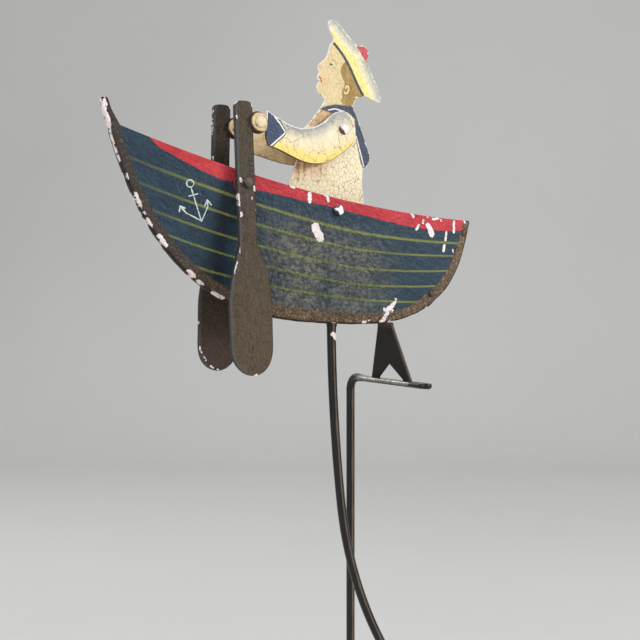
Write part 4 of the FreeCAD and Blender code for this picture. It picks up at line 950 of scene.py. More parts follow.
def foot_finish():
    """Satin black-brown with tan rubbed edges, rust at the weld and red paint rubbed in."""
    material, shader, here = finish("foot_black", Specular_IOR_Level=0.15)
    tone = mottle(stretched(here, 1, 1, 0.4), 7.0, 1.3)
    fine = mottle(here, 1.2, 1.1)
    colour = blend(tone, (14, 12, 11), (38, 33, 29))
    rim = mark(here, "edge") + fine * 1.5
    colour = blend(band(rim, 2.0, 0.8) * 0.5, colour, (104, 88, 76))
    red = flakes(here, 5.0, 0.6) * band(rim, 5.0, 2.0)
    colour = blend(red * 0.3, colour, (120, 48, 46))
    weld = band(mark(here, "up"), 0.9, 0.99) * fine
    colour = blend(weld, colour, (112, 78, 58))
    coat(shader, colour, spread(tone, 0.3, 0.5), fine, 0.08)
    return material


foot_places, foot_numbers = foot_grid()
foot = surface("a_foot_cut", foot_places, foot_numbers)
cut = bmesh.new()
cut.from_mesh(foot.data)
open_faces = [face for face in cut.faces
              if face.calc_center_median().z - PIVOT_Z < 0.001 * FOOT_NOTCH
              and max(corner.co.y for corner in face.verts) > 0
              and min(corner.co.y for corner in face.verts) < 0]
bmesh.ops.delete(cut, geom=open_faces, context="FACES")
cut.to_mesh(foot.data)
cut.free()
walled(foot, FOOT_PLATE, 0, 0.45)
settle(foot, "boat", "black_paint", foot_finish(), "a_foot")

# ---------------------------------------------------------------- pendulum and counterweight
# Rod welded under the keel and bent aft in two sweeps, to carry an iron ball as a weight.
# Paint has come off in one spot under the weld.
PENDULUM_ROOT = (-51.7, 42.0)
PENDULUM_TURN = math.radians(0.5)
UPPER_RADIUS, UPPER_LENGTH = 1200.0, 131.0
LOWER_RADIUS, LOWER_LENGTH = 280.0, 190.2
PENDULUM_END = 45.0
PENDULUM_CHIPS = [(-52.0, 33.8, -50.0, 33.0, 1.7), (-50.6, 32.4, -49.6, 30.8, 1.5)]


def pendulum_rings():
    """A circle carried down the rod: its turn grows with the length over each bend's radius."""
    total = UPPER_LENGTH + LOWER_LENGTH + PENDULUM_END
    run = np.concatenate([np.linspace(0, 8, 20), np.linspace(8, total, 330)[1:]])
    upper = np.minimum(run, UPPER_LENGTH) / UPPER_RADIUS
    lower = np.clip(run - UPPER_LENGTH, 0, LOWER_LENGTH) / LOWER_RADIUS
    turn = PENDULUM_TURN + upper + lower
    step = np.diff(run, prepend=0)
    mid = np.concatenate([turn[:1], (turn[1:] + turn[:-1]) / 2])
    x = PENDULUM_ROOT[0] + np.cumsum(step * np.sin(mid))
    z = PENDULUM_ROOT[1] - np.cumsum(step * np.cos(mid))
    angle = full_turn(48)
    weld = 2.4 * np.exp(-(run / 1.9)[:, None]) * (0.55 + 0.45 * np.cos(angle - 0.3))
    weld = weld * (1 + 0.5 * waves(run[:, None] * 2, angle, 41))
    radius = ROD_RADIUS + weld + 0.03 * waves(run[:, None] / 8, angle, 42)
    out = radius * np.cos(angle)
    rings = places_at(x[:, None] + out * np.cos(turn)[:, None], radius * np.sin(angle),
                      z[:, None] + out * np.sin(turn)[:, None])
    # Distance round the rod from its port side, where the painted reflection runs.
    wear_and_reflection = ROD_RADIUS * np.arccos(np.clip(-np.sin(angle), -1, 1)) + 0 * radius
    chip = stroke_distance(rings[..., 0], rings[..., 2], PENDULUM_CHIPS)
    chip = chip + np.where(np.sin(angle) > -0.1, 30, 0)
    marks = {"port": wear_and_reflection, "flat": 0 * wear_and_reflection, "chip": chip}
    return closed_ends(rings), {label: with_ends(values) for label, values in marks.items()}


pendulum_places, pendulum_numbers = pendulum_rings()
pendulum = surface("pendulum_bent", pendulum_places, pendulum_numbers, ring=True)
# The rods' black enamel, with one chip down to pink primer.
settle(pendulum, "boat", "black_paint", rod_paint("pendulum_black", True), "pendulum_rod")


def ball_rings():
    """A sphere from its own box, a little uneven as cast: rows from pole to pole."""
    low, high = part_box("counterweight_ball")
    centre = np.array([(low.x + high.x) / 2, 0, (low.z + high.z) / 2 - PIVOT_Z]) * 1000
    radius = 500 * (high.z - low.z)
    down = np.linspace(0, math.pi, 90)[:, None]
    angle = full_turn(128)
    size = radius * (1 - 0.0025 * (1 + waves(down * 6, angle, 51)) * np.sin(down))
    return centre + places_at(size * np.sin(down) * np.cos(angle),
                              size * np.sin(down) * np.sin(angle), size * np.cos(down))


ball = surface("counterweight_cast", ball_rings(), ring=True)
settle(ball, "boat", "black_paint", CAST_BLACK, "counterweight_ball")
smooth_copy("counterweight_nut", "boat", ZINC, 0.3)
for label in ("port", "starboard"):
    smooth_copy(f"hip_spacer_{label}", "boat", ZINC, 0.2)

# ---------------------------------------------------------------- rivets
# Soft steel rivets, set by hand, so that each head is a little lopsided. They were painted with
# the piece that they hold, and their heads are knocked bare.
HIP_X, HIP_Z = -58.0, 121.4
OAR_X, OAR_Z = -129.8, 137.7
SHOULDER_X, SHOULDER_Z = -43.8, 181.0
HAND_X, HAND_Z = -120.0, 178.9
HEAD_RADIUS, HEAD_HEIGHT = 4.0, 2.0
TAIL_RADIUS, TAIL_HEIGHT = 3.5, 1.5


def rivet_rings(node, x, z, head, shank, two_heads=False, seed=0):
    """A rivet turned about its own axis: dome, shank and flat tail, or a dome at each end."""
    low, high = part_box(node)
    start, end = 1000 * (low.y if head < 0 else high.y), 1000 * (high.y if head < 0 else low.y)
    way = 1 if end > start else -1
    dome = np.linspace(0, math.pi / 2, 14)
    head_reach, head_rise = HEAD_RADIUS * np.sin(dome), HEAD_HEIGHT * (1 - np.cos(dome))
    reach = [head_reach, [shank, shank]]
    along = [head_rise, [HEAD_HEIGHT + 0.02]]
    length = abs(end - start)
    if two_heads:
        reach.append(head_reach[::-1])
        along.append([length - HEAD_HEIGHT - 0.02])
        along.append(length - head_rise[::-1])
    else:
        reach.append([TAIL_RADIUS, TAIL_RADIUS, TAIL_RADIUS - 0.4, 0])
        along.append([length - TAIL_HEIGHT])
        along.append([length - TAIL_HEIGHT, length - 0.4, length, length])
    reach, along = np.concatenate(reach)[:, None], np.concatenate(along)[:, None]
    angle = full_turn(40)
    uneven = 1 + 0.06 * waves(along, angle, 60 + seed)
    side_x, side_z = reach * uneven * np.cos(angle), reach * uneven * np.sin(angle)
    lop = 0.12 * HEAD_RADIUS * np.exp(-along) * np.cos(angle - 2)
    rings = places_at(x + side_x, start + way * along + way * 0.1 * lop, z + side_z)
    lee = (-0.75 * side_x - 0.66 * side_z) / HEAD_RADIUS
    return rings, {"lee": lee}


def rivet_finish(name, under, over, lip, chipped, lee):
    """Painted rivet: two tones, a crescent of painted shade round its lower front and bare spots on
    top.
    """
    material, shader, here = finish(name, Roughness=0.5)
    tone = mottle(here, 2.4, 1.2)
    fine = mottle(here, 0.8, 1.2)
    colour = blend(tone, under, over)
    # Painted shade: a dark crescent on the lower front of the head.
    crescent = band(mark(here, "lee") + (tone - 0.5) * 0.3, lee, lee + 0.16)
    colour = blend(crescent, colour, lip)
    colour = blend(flakes(here, 3.0, chipped) * (1.0 - crescent), colour, WHITE_PRIMER)
    coat(shader, colour, None, fine, 0.12)
    return material


RIVET_BROWN = rivet_finish("rivet_brown", (62, 54, 48), (92, 76, 62), (20, 18, 18), 0.66, 0.5)
RIVET_WHITE = rivet_finish("rivet_white", (240, 232, 222), (232, 216, 200), (96, 62, 40), 0.48, 0.36)
RIVET_CHIPPED = rivet_finish("rivet_chipped", (52, 54, 66), (150, 110, 112), (24, 24, 30), 0.49, 0.4)
RIVET_CREAM = rivet_finish("rivet_cream", (226, 204, 158), (238, 222, 186), (158, 120, 78), 0.7, 0.8)
RIVETS = [("hip_axle", HIP_X, HIP_Z, -1, 2.0, "boat", "primer_white", RIVET_CHIPPED),
          ("oar_rivet_port", OAR_X, OAR_Z, -1, 2.0, "boat", "oar_paint", RIVET_BROWN),
          ("oar_rivet_starboard", OAR_X, OAR_Z, 1, 2.0, "boat", "oar_paint", RIVET_BROWN),
          ("shoulder_rivet", SHOULDER_X, SHOULDER_Z, -1, 1.5, "sailor", "primer_white", RIVET_WHITE),
          ("hand_rivet_port", HAND_X, HAND_Z, -1, 1.5, "arm_port", "cream_paint", RIVET_CREAM),
          ("hand_rivet_starboard", HAND_X, HAND_Z, -1, 1.5, "arm_starboard", "cream_paint",
           RIVET_CREAM)]
for seed, (node, x, z, head, shank, body, slot, paint) in enumerate(RIVETS):
    places, numbers = rivet_rings(node, x, z, head, shank, node == "hip_axle", seed)
    settle(surface(node + "_set", places, numbers, ring=True), body, slot, paint, node)

SPACER_RED = enamel("spacer_red", (96, 26, 32), (150, 44, 50), (40, 20, 20), 0.55, 1.2)
for label in ("port", "starboard"):
    smooth_copy(f"oar_spacer_{label}", "boat", SPACER_RED, 0.25)

# ---------------------------------------------------------------- sailor
# One flat figure cut from 2 mm sheet, from pompom to boots, painted alike on both faces.
# The cut edge is near-white nearly all the way round: knocked down to primer, and a painted highlight
# along the edge.
SAILOR_PLATE = 2.0
LEG_FRONT = [[(-64, -8), (-58, -12)], [(-58, -12), (-28.5, 12)]]
LEG_BACK = [[(-64, -34), (-48, -34)], [(-48, -34), (6, -18)], [(6, -18), (22, -16), (31, -9),
            (33.2, 4)]]
LEG_TOE = [[(-64, -8), (-70, -10), (-71, -30), (-64, -34)]]
BODY_FRONT = [[(-28.5, 12), (-28.5, 19)], [(-28.5, 19), (-23, 33), (-16, 59)],
              [(-16, 59), (-11, 63.7), (-7.8, 67.6), (-3.4, 73), (0.2, 78.6), (1, 80.2)]]
BODY_BACK = [[(33.2, 4), (32.4, 12), (31.6, 24), (32.1, 32.5)], [(32.1, 32.5), (33.6, 32.7),
             (37.6, 38)], [(37.6, 38), (38.6, 40.5), (38.3, 43)],
             [(38.3, 43), (34.1, 52.8), (29.3, 64.8), (24.1, 75.5)]]
HEAD_FRONT = [[(1, 80.2), (-2.6, 83.4), (-5.3, 85.7), (-6, 88.1), (-5.1, 90.7), (-3.8, 93.1)],
              [(-3.8, 93.1), (-5.2, 94.9), (-5, 97.1), (-3.7, 99.3)],
              [(-3.7, 99.3), (-4.9, 101.4), (-4.7, 103.8), (-3, 106.2), (1, 109.2)],
              [(1, 109.2), (3.3, 112.9), (4.6, 117.3), (5.8, 121.1)], [(5.8, 121.1), (7.7, 122.3)]]
HEAD_BACK = [[(24.1, 75.5), (24, 77.5), (25.6, 80.5), (26.5, 83.6)],
             [(26.5, 83.6), (29, 83.9), (32.6, 84.6), (33.7, 86.1)]]
HAT_FRONT = [[(7.7, 122.3), (8, 124.8), (6.5, 127.7), (4.2, 132.5), (3.8, 135), (5.2, 137.6),
              (8.4, 137.8)]]
HAT_BACK = [[(33.7, 86.1), (38.8, 83.8), (42.7, 82.4), (46, 81.6), (47.7, 82.4), (47.8, 85)]]
HAT_TOP = [[(8.4, 137.8), (12, 135.8), (15.9, 131.9), (21.3, 126.6), (28.1, 120.7)],
           [(28.1, 120.7), (30.8, 121.8), (34, 121.4), (36.6, 118.6), (36.9, 114), (35.3, 111.1)],
           [(35.3, 111.1), (39, 104.3), (42.7, 96.9), (46, 90.4), (47.8, 85)]]
HAIR_FRONT = [(-40.0, 231.0), (-43.0, 227.6), (-44.3, 224.0), (-43.4, 219.4), (-41.4, 215.6),
              (-42.0, 211.6), (-43.6, 208.0), (-43.2, 204.6), (-44.0, 201.4), (-41.0, 199.2),
              (-36.6, 197.6)]
HAIR_BACK = [(-34.6, 196.0), (-30.0, 203.0), (-22.0, 205.0), (-22.0, 209.0), (-37.0, 228.6)]
HAT_BAND = [(-51.6, 243.9), (-48.6, 241.3), (-44.9, 237.6), (-40.4, 232.0), (-36.5, 226.1),
            (-31.0, 216.0), (-25.2, 206.6)]
COLLAR = [(-61.6, 194.8), (-55.5, 197.0), (-49.1, 198.4), (-41.0, 198.6), (-33.2, 197.6),
          (-28.0, 186.5), (-23.0, 174.5), (-18.6, 164.0), (-19.4, 160.0), (-24.8, 153.4),
          (-27.2, 158.0), (-31.0, 174.4), (-32.6, 189.8), (-38.0, 193.8), (-44.1, 194.0),
          (-52.0, 192.6)]
POMPOM_FOOT = [(-30.4, 241.4), (-23.4, 232.2)]


def drawn_line(runs, count):
    """Runs of smooth line, joined end to end and stepped off evenly along their length."""
    dense = np.concatenate([spline(run, max(60, len(run)))[0 if step == 0 else 1:]
                            for step, run in enumerate(runs)])
    length = np.concatenate([[0], np.cumsum(np.linalg.norm(np.diff(dense, axis=0), axis=1))])
    at = np.linspace(0, length[-1], count)
    return np.stack([np.interp(at, length, dense[:, 0]), np.interp(at, length, dense[:, 1])], 1)


def patch(front, back, low, high, rows, columns):
    """Sheet between four edges: front and back blended across, low and high blended up,
    less the blend of the four corners (a Coons patch)."""
    v, u = np.linspace(0, 1, rows)[:, None, None], np.linspace(0, 1, columns)[None, :, None]
    front, back = drawn_line(front, rows)[:, None], drawn_line(back, rows)[:, None]
    low, high = drawn_line(low, columns)[None], drawn_line(high, columns)[None]
    across = front * (1 - u) + back * u
    up = low * (1 - v) + high * v
    corners = (front[:1] * (1 - u) + back[:1] * u) * (1 - v)
    corners = corners + (front[-1:] * (1 - u) + back[-1:] * u) * v
    return across + up - corners


def inside(x, z, polygon):
    """How far a place is inside a polygon, negative outside."""
    corners = np.array(polygon, float)
    follow = np.roll(corners, -1, axis=0)
    strokes = [(*start, *end, 0.0) for start, end in zip(corners, follow)]
    away = stroke_distance(x, z, strokes)
    crossings = np.zeros(np.shape(x), int)
    for (x0, z0), (x1, z1) in zip(corners, follow):
        between = (z0 > z) != (z1 > z)
        rise = z1 - z0 if abs(z1 - z0) > 1e-9 else 1e-9
        crossings += between & (x < x0 + (z - z0) * (x1 - x0) / rise)
    return np.where(crossings % 2 == 1, away, -away)


def sailor_grid():
    """Legs, body, head and hat as four patches, each starting from the one below."""
    columns = 92
    waist, neck = [[(-28.5, 12), (33.2, 4)]], [[(1, 80.2), (24.1, 75.5)]]
    brow = [[(7.7, 122.3), (33.7, 86.1)]]
    parts = [patch(LEG_FRONT, LEG_BACK, LEG_TOE, waist, 44, columns),
             patch(BODY_FRONT, BODY_BACK, waist, neck, 104, columns)[1:],
             patch(HEAD_FRONT, HEAD_BACK, neck, brow, 100, columns)[1:],
             patch(HAT_FRONT, HAT_BACK, brow, HAT_TOP, 46, columns)[1:]]
    flat = np.concatenate(parts) + np.array([HIP_X, HIP_Z])
    bow = 0.12 * waves(flat[..., 0] / 16, flat[..., 1] / 20, 71)
    return places_at(flat[..., 0], bow, flat[..., 1])


def outline_distance(grid):
    """Distance from each place to the cut edge all round."""
    x, z = grid[..., 0], grid[..., 2]
    edge = np.concatenate([grid[0], grid[:, -1], grid[-1, ::-1], grid[::-1, 0]])[:, ::2]
    return line_distance(x, z, np.repeat(edge, 3, axis=0))


def sailor_marks(grid):
    """For the paint: distances inside hair, collar, hat, pompom and to the cut edge."""
    x, z = grid[..., 0], grid[..., 2]
    band_line = spline(HAT_BAND, 300)
    above = np.interp(z, band_line[::-1, 1], band_line[::-1, 0])
    reach = line_distance(x, z, np.repeat(band_line, 3, axis=0))
    in_hat = (x > above) & (z > 200) | (z > HAT_BAND[0][1])
    (x0, z0), (x1, z1) = POMPOM_FOOT
    pom = ((x - x0) * (z0 - z1) + (z - z0) * (x1 - x0)) / math.hypot(x1 - x0, z1 - z0)
    pom = np.minimum(pom, 9.0 - np.hypot(x - (x0 + x1) / 2, z - (z0 + z1) / 2))
    top_line = np.array(drawn_line(HAT_TOP, 400)) + np.array([HIP_X, HIP_Z])
    top = line_distance(x, z, np.repeat(top_line, 3, axis=0))
    hair = [tuple(place) for place in spline(HAIR_FRONT, 40)] + HAIR_BACK
    return {"edge": outline_distance(grid), "hair": inside(x, z, hair),
            "collar": inside(x, z, COLLAR), "hat": np.where(in_hat, reach, -reach),
            "pompom": pom, "crown": top}


BROW = [(-51.8, 230.2, -50.2, 230.8), (-50.2, 230.8, -48.6, 229.4), (-48.6, 229.4, -48.0, 227.2),
        (-51.2, 224.6, -49.2, 225.0)]
EYE = [(-53.0, 227.3, -51.7, 227.1)]
NOSE_TIP = (-62.2, 0, 224.4)
LIPS = [(-62.2, 217.0, -60.8, 216.6), (-60.8, 215.4, -60.2, 213.9)]
EAR = [(-40.2, 211.2, -39.4, 212.8), (-39.4, 212.8, -37.9, 212.4), (-37.9, 212.4, -37.6, 210.2),
       (-37.6, 210.2, -38.8, 207.9), (-38.8, 207.9, -40.5, 207.2), (-40.5, 207.2, -41.2, 208.2)]
PIPING = [(-54.6, 194.3, -49.4, 195.6), (-49.4, 195.6, -43.6, 194.7), (-31.2, 177.0, -24.8, 155.6)]


def sailor_finish():
    """Cream figure: crazed body, tan face, ochre hair, navy collar, yellow hat with its band."""
    material, shader, here = finish("sailor_paint")
    slow = mottle(here, 16.0, 1.0)
    quick = mottle(here, 2.2, 1.2)
    streak = mottle(stretched(here, 1.6, 1, 0.35), 5.0, 1.2)
    crazed = use(CRACKLE, Vector=stretched(here, 1.1, 1, 0.8), Cell=3.4, Crack=0.05)
    flat = side_view(here)
    aft, rise = put(flat, "SeparateXYZ", {0: flat}, "X"), put(flat, "SeparateXYZ", {0: flat}, "Z")
    cream = blend(slow, (246, 232, 194), (238, 218, 174))
    cream = blend(quick * 0.4, cream, (250, 240, 210))
    # Orange-brown streaks on the front of the body, just below the arm.
    orange_tint = band(rise, 138.0, 156.0) * band(aft, -46.0, -80.0) * band(rise, 172.0, 164.0)
    colour = blend(band(orange_tint * streak, 0.0, 0.6) * 0.9, cream, (200, 134, 62))
    face = blend(slow, (228, 206, 154), (212, 184, 130))
    face = blend(quick * 0.35, face, (234, 214, 168))
    colour = blend(band(rise, 193.0, 194.0), colour, face)
    chest = band(rise, 181.0, 183.0) * band(rise, 194.4, 193.6) * band(aft, -40.0, -43.0)
    colour = blend(chest, colour, (206, 172, 126))
    ochre = blend(streak, (146, 112, 40), (172, 138, 62))
    hand = (quick - 0.5) * 0.35
    hair = band(mark(here, "hair") + hand, -0.15, 0.15)
    colour = blend(hair, colour, ochre)
    colour = blend(band(brushed(flat, EAR), 0.66, 0.42), colour, (240, 218, 160))
    navy = blend(quick, (26, 42, 72), (42, 58, 88))
    collar = band(mark(here, "collar") + hand, -0.15, 0.15)
    colour = blend(collar, colour, navy)
    rim = abs(mark(here, "collar") + 0.2)
    colour = blend(band(rim, 0.5, 0.25) * 0.6, colour, (30, 32, 40))
    colour = blend(band(brushed(flat, PIPING), 0.62, 0.38), colour, (236, 234, 226))
    # The hat: yellow by the band, cream in the middle and grey along its top.
    up, crown = mark(here, "hat"), mark(here, "crown")
    hat = blend(slow, (246, 230, 138), (240, 218, 112))
    hat = blend(band(crown, 9.6, 5.6), hat, (236, 228, 198))
    grey = blend(quick, (182, 182, 174), (128, 131, 136))
    hat = blend(band(crown, 7.0, 1.6) * 0.9, hat, grey)
    hat = blend(quick * 0.25, hat, (248, 238, 190))
    colour = blend(band(up, -0.1, 0.1), colour, hat)
    ribbon = blend(quick, (22, 44, 44), (34, 58, 58))
    colour = blend(band(abs(up) + hand, 1.25, 0.95), colour, ribbon)
    pompom = band(mark(here, "pompom") + hand, -0.1, 0.2)
    colour = blend(pompom, colour, blend(quick, (178, 44, 54), (208, 72, 78)))
    colour = blend(band(brushed(flat, BROW), 0.5, 0.2) * 0.75, colour, (140, 116, 66))
    eye = brushed(flat, EYE)
    colour = blend(band(eye, 1.15, 0.8), colour, (200, 196, 164))
    colour = blend(band(eye, 0.8, 0.55), colour, (66, 90, 84))
    colour = blend(band(brushed(flat, LIPS), 0.75, 0.45), colour, (200, 62, 46))
    nose = vector("DISTANCE", flat, NOSE_TIP, 1)
    colour = blend(band(nose, 2.8, 0.6) * 0.6, colour, (216, 140, 128))
    # Crazing all over, dirt in the cracks, and the edge near-white: knocked to primer, and a painted
    # highlight.
    crack = crazed["Line"] * spread(rise, 1.0, 0.5, 192.0, 202.0) * band(streak, -0.4, 0.7)
    colour = blend(crack, colour, (104, 74, 42))
    # Painted highlight and bare primer: near-white along the cut edge.
    rim = mark(here, "edge") + quick * 1.1
    colour = blend(band(rim, 0.95, 0.65) * 0.95, colour, (242, 238, 228))
    height = crazed["Height"] + quick * 0.5
    coat(shader, colour, spread(quick, 0.42, 0.62), height, 0.14)
    return material


sailor_places = sailor_grid()
sailor = surface("sailor_cut", sailor_places, sailor_marks(sailor_places))
walled(face_towards(sailor, -1), SAILOR_PLATE, 0, 0.35)
settle(sailor, "sailor", "cream_paint", sailor_finish(), "sailor_plate")
for label in ("port", "starboard"):
    smooth_copy(f"shoulder_washer_{label}", "sailor", RIVET_CREAM, 0.2)
    smooth_copy(f"leg_weight_{label}", "sailor", ZINC, 0.4)
smooth_copy("leg_weight_rivet", "sailor", ZINC, 0.2)

# ---------------------------------------------------------------- arms
# Two strips of 2 mm sheet, cut to a sleeve and hand and bent outwards round the body to the oars.
# Painted grey, cream and yellow from top to bottom, with a navy cuff; plain cream inside.
ARM_PLATE = 2.0
ARM_ROWS, ARM_COLUMNS = 52, 150
PALM_RADIUS = 6.3
SHOULDER_FLAT, HAND_FLAT = 12.0, 14.0
ARM_TOP = [(0.935, 5.8), (0.81, 1.0), (0.66, -2.5), (0.51, -3.2), (0.395, -1.6), (0.205, 5.0),
           (0.09, 11.4), (0.0, 13.3)]
ARM_END = [(-0.02, -15.4), (-0.112, -7.5), (-0.125, 0.0), (-0.075, 9.0), (0.0, 13.3)]
ARM_LOW = [(0.92, -17.6), (0.685, -23.0), (0.52, -26.1), (0.33, -26.6), (0.20, -24.9),
           (0.10, -21.3), (-0.02, -15.4)]
ARM_CUFF = [[(0.92, -17.6), (0.945, -12.1)], [(0.945, -12.1), (0.935, 5.8)]]
CUFF = [(-121.0, 189.5), (-114.6, 187.8), (-112.4, 185.6), (-101.6, 173.3), (-113.6, 163.2),
        (-120.0, 161.0), (-126.0, 176.0)]


def arm_place(points):
    """(Part of the way to the hand, height) made (aft, up) from the rocking axis."""
    points = np.array(points, float)
    x = SHOULDER_X + (HAND_X - SHOULDER_X) * points[:, 0]
    return [tuple(place) for place in np.stack([x, SHOULDER_Z + points[:, 1]], 1)]


def arm_bend(x, side, node):
    """Middle of the strip from the centre plane: flat, slanting between the bends, and flat."""
    low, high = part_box(node)
    outer, inner = sorted((abs(1000 * low.y), abs(1000 * high.y)))[::-1]
    seat, hand = inner + ARM_PLATE / 2, outer - ARM_PLATE / 2
    knee, wrist = SHOULDER_X - SHOULDER_FLAT, HAND_X + HAND_FLAT
    part = np.clip((knee - x) / (knee - wrist), 0, 1)
    soft = part + 0.02 * np.sin(2 * math.pi * part) * -1
    return side * (seat + (hand - seat) * soft)


def arm_finish():
    """Sleeve grey along the top, cream, then yellow below; navy cuff, white piping, tan hand."""
    material, shader, here = finish("sleeve_paint")
    slow = mottle(here, 14.0, 1.0)
    quick = mottle(here, 2.2, 1.2)
    crazed = use(CRACKLE, Vector=here, Cell=7.5, Crack=0.045)
    finer = use(CRACKLE, Vector=here, Cell=2.6, Crack=0.05)
    up = mark(here, "up") + (slow - 0.5) * 0.16
    cream = blend(slow, (240, 228, 192), (230, 212, 168))
    cream = blend(quick * 0.4, cream, (246, 236, 206))
    yellow = blend(quick, (248, 224, 122), (242, 212, 98))
    colour = blend(band(up, 0.46, 0.2) * 0.95, cream, yellow)
    grey = blend(quick, (160, 162, 164), (134, 138, 144))
    colour = blend(band(up, 0.62, 0.92) * 0.88, colour, grey)
    dirt = crazed["Line"] * band(slow, 0.2, 0.6)
    dirt = maths("MAXIMUM", dirt, finer["Line"] * (quick * 0.45))
    colour = blend(dirt * 0.7, colour, (110, 84, 50))
    hand = (quick - 0.5) * 0.35
    cuff = mark(here, "cuff") + hand
    colour = blend(band(cuff, -2.25, -2.0), colour, (34, 32, 36))
    colour = blend(band(cuff, -1.5, -1.25), colour, (240, 238, 230))
    colour = blend(band(cuff, -0.45, -0.2), colour, blend(quick, (27, 44, 76), (44, 62, 94)))
    edge = mark(here, "edge")
    # Painted highlight: near-white along the upper edges, where they catch the light.
    rim = band(edge + quick * 0.7, 0.95, 0.7) * band(mark(here, "up"), 0.45, 0.6)
    colour = blend(rim, colour, (236, 234, 228))
    under = band(edge, 0.55, 0.3) * band(mark(here, "up"), 0.3, 0.2)
    colour = blend(under, colour, (96, 74, 44))
    height = finer["Height"] + quick * 0.5
    coat(shader, colour, spread(quick, 0.4, 0.6), height, 0.12)
    return material


def plain_cream_finish():
    """Hands and the arms' inner faces: one coat of cream, rusty along edges and in streaks."""
    material, shader, here = finish("plain_cream")
    slow = mottle(here, 9.0, 1.2)
    quick = mottle(here, 2.0, 1.3)
    crazed = use(CRACKLE, Vector=here, Cell=3.2, Crack=0.05)
    colour = blend(slow, (232, 210, 168), (214, 184, 138))
    orange_tint = quick * band(slow, 0.45, 0.95)
    colour = blend(orange_tint * 0.6, colour, (150, 98, 58))
    edge = mark(here, "edge") + quick * 1.2
    colour = blend(band(edge, 1.5, 0.7) * 0.55, colour, (136, 96, 58))
    colour = blend(crazed["Line"] * 0.4, colour, (120, 84, 50))
    coat(shader, colour, spread(quick, 0.45, 0.65), crazed["Height"], 0.12)
    return material


SLEEVE, PLAIN_CREAM = arm_finish(), plain_cream_finish()
for side, label in SIDES:
    node = f"arm_{label}"
    cuff_edge = [arm_place(run) for run in ARM_CUFF]
    flat = patch(cuff_edge, [arm_place(ARM_END)], [arm_place(ARM_LOW)], [arm_place(ARM_TOP)],
                 ARM_ROWS, ARM_COLUMNS)
    grid = places_at(flat[..., 0], arm_bend(flat[..., 0], side, node), flat[..., 1])
    numbers = {"up": np.linspace(0, 1, ARM_ROWS)[:, None], "edge": outline_distance(grid),
               "cuff": inside(flat[..., 0], flat[..., 1], CUFF)}
    sleeve = surface(f"sleeve_{label}", grid, numbers)
    walled(face_towards(sleeve, side), ARM_PLATE, 0, 0.35, 1)
    settle(sleeve, node, "cream_paint", [SLEEVE, PLAIN_CREAM], node)
    # The hand is a round with a short wrist that runs under the cuff.
    angle = full_turn(72)
    out = np.linspace(0, 1, 12)[:, None]
    wrist = 1 + 0.85 * np.maximum(np.cos(angle), 0)
    palm_x = HAND_X + PALM_RADIUS * out * np.cos(angle) * wrist
    palm_z = HAND_Z + PALM_RADIUS * out * np.sin(angle) - 0.12 * (palm_x - HAND_X)
    palm = places_at(palm_x, arm_bend(palm_x, side, node), palm_z)
    hand_piece = surface(f"hand_{label}", palm, {"edge": PALM_RADIUS * (1 - out)}, ring=True)
    walled(face_towards(hand_piece, side), ARM_PLATE - 0.15, 0, 0.3)
    settle(hand_piece, node, "cream_paint", PLAIN_CREAM, node)

# ---------------------------------------------------------------- oars
# Cut from thick sheet with the outer face filed to a crown, and hung blade down on a rivet.
# Brown-grey paint brushed lengthwise; the starboard oar is less worn, and its darker paint is painted
# shade.
OAR_SPLAY = math.radians(3.6)
OAR_CREST, OAR_CROWN = 3.4, 60.0
HANDLE_HALF, HANDLE_LEAN, HANDLE_SHIFT = 6.5, 0.8, -0.3
BLADE_HALF, BLADE_SHIFT, BLADE_FROM, BLADE_END = 16.0, 1.3, -42.0, -129.4
BLADE_SWELL = [(0.19, 0.78), (0.42, 1.0), (0.68, 0.99), (0.915, 0.78)]
OAR_CAP = 4.0
PORT_TOP, STARBOARD_TOP = 55.0, 57.0
EAR_RADIUS, EAR_PLATE, EAR_OUT = 7.5, 2.6, 1.4
OAR_SEAT = 1000 * abs(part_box("oar_spacer_port")[0].y) + 0.35 + math.tan(OAR_SPLAY) * EAR_RADIUS
OAR_CHIPS = [(-7.4, 52.6, -5.6, 54.4, 0.4), (4.2, 54.4, 5.6, 51.6, 0.6), (-6.6, 44.4, -6.2, 43.2, 0.6),
             (-5.0, 2.0, -4.4, 0.2, 1.1), (5.0, -3.0, 5.6, -5.6, 0.9), (3.0, -10.2, 3.4, -11.0, 0.4),
             (-6.6, -8.4, -6.2, -15.6, 0.7), (-5.0, -21.0, -5.1, -23.2, 0.9),
             (-6.8, -44.4, -6.8, -47.8, 0.4), (-8.8, -53.4, -10.8, -61.0, 0.5),
             (1.2, -129.0, 3.0, -128.8, 0.7), (6.5, 13.0, 6.6, 11.8, 0.4),
             (6.2, -18.0, 6.4, -19.2, 0.4)]
FAR_OAR_CHIPS = [(-7.9, 55.0, -7.6, 36.0, 0.2), (-6.8, 20.8, -6.7, 18.8, 0.5),
                 (4.0, 55.9, 5.4, 54.4, 0.3), (-14.4, -94.0, -14.3, -96.0, 0.4),
                 (-13.6, -112.0, -11.8, -116.0, 0.6), (-9.8, -119.0, -8.4, -121.4, 0.5),
                 (-4.6, -125.6, -2.8, -127.0, 0.6), (0.4, -128.4, 1.6, -128.6, 0.5)]


def oar_edge(top, way):
    """Half of an oar's outline, from the middle of its cap down to the blade's end."""
    foot, head = HANDLE_SHIFT, HANDLE_SHIFT - HANDLE_LEAN
    corner = [(3.6, 0.12), (1.7, 0.75), (0.55, 2.0), (0.0, OAR_CAP)]
    cap = [(head, top)] + [(head + way * (HANDLE_HALF - into), top - down)
                           for into, down in corner]
    drop = BLADE_END - BLADE_FROM
    near, far = [[(foot + to * HANDLE_HALF, BLADE_FROM)]
                 + [(BLADE_SHIFT + to * BLADE_HALF * wide, BLADE_FROM + part * drop)
                    for part, wide in BLADE_SWELL] for to in (way, -way)]
    blade = spline(near + [(BLADE_SHIFT, BLADE_END)] + far[::-1], 601)
    half = blade[:np.argmin(blade[:, 1]) + 1:5]
    return [cap, [cap[-1], near[0]], half]


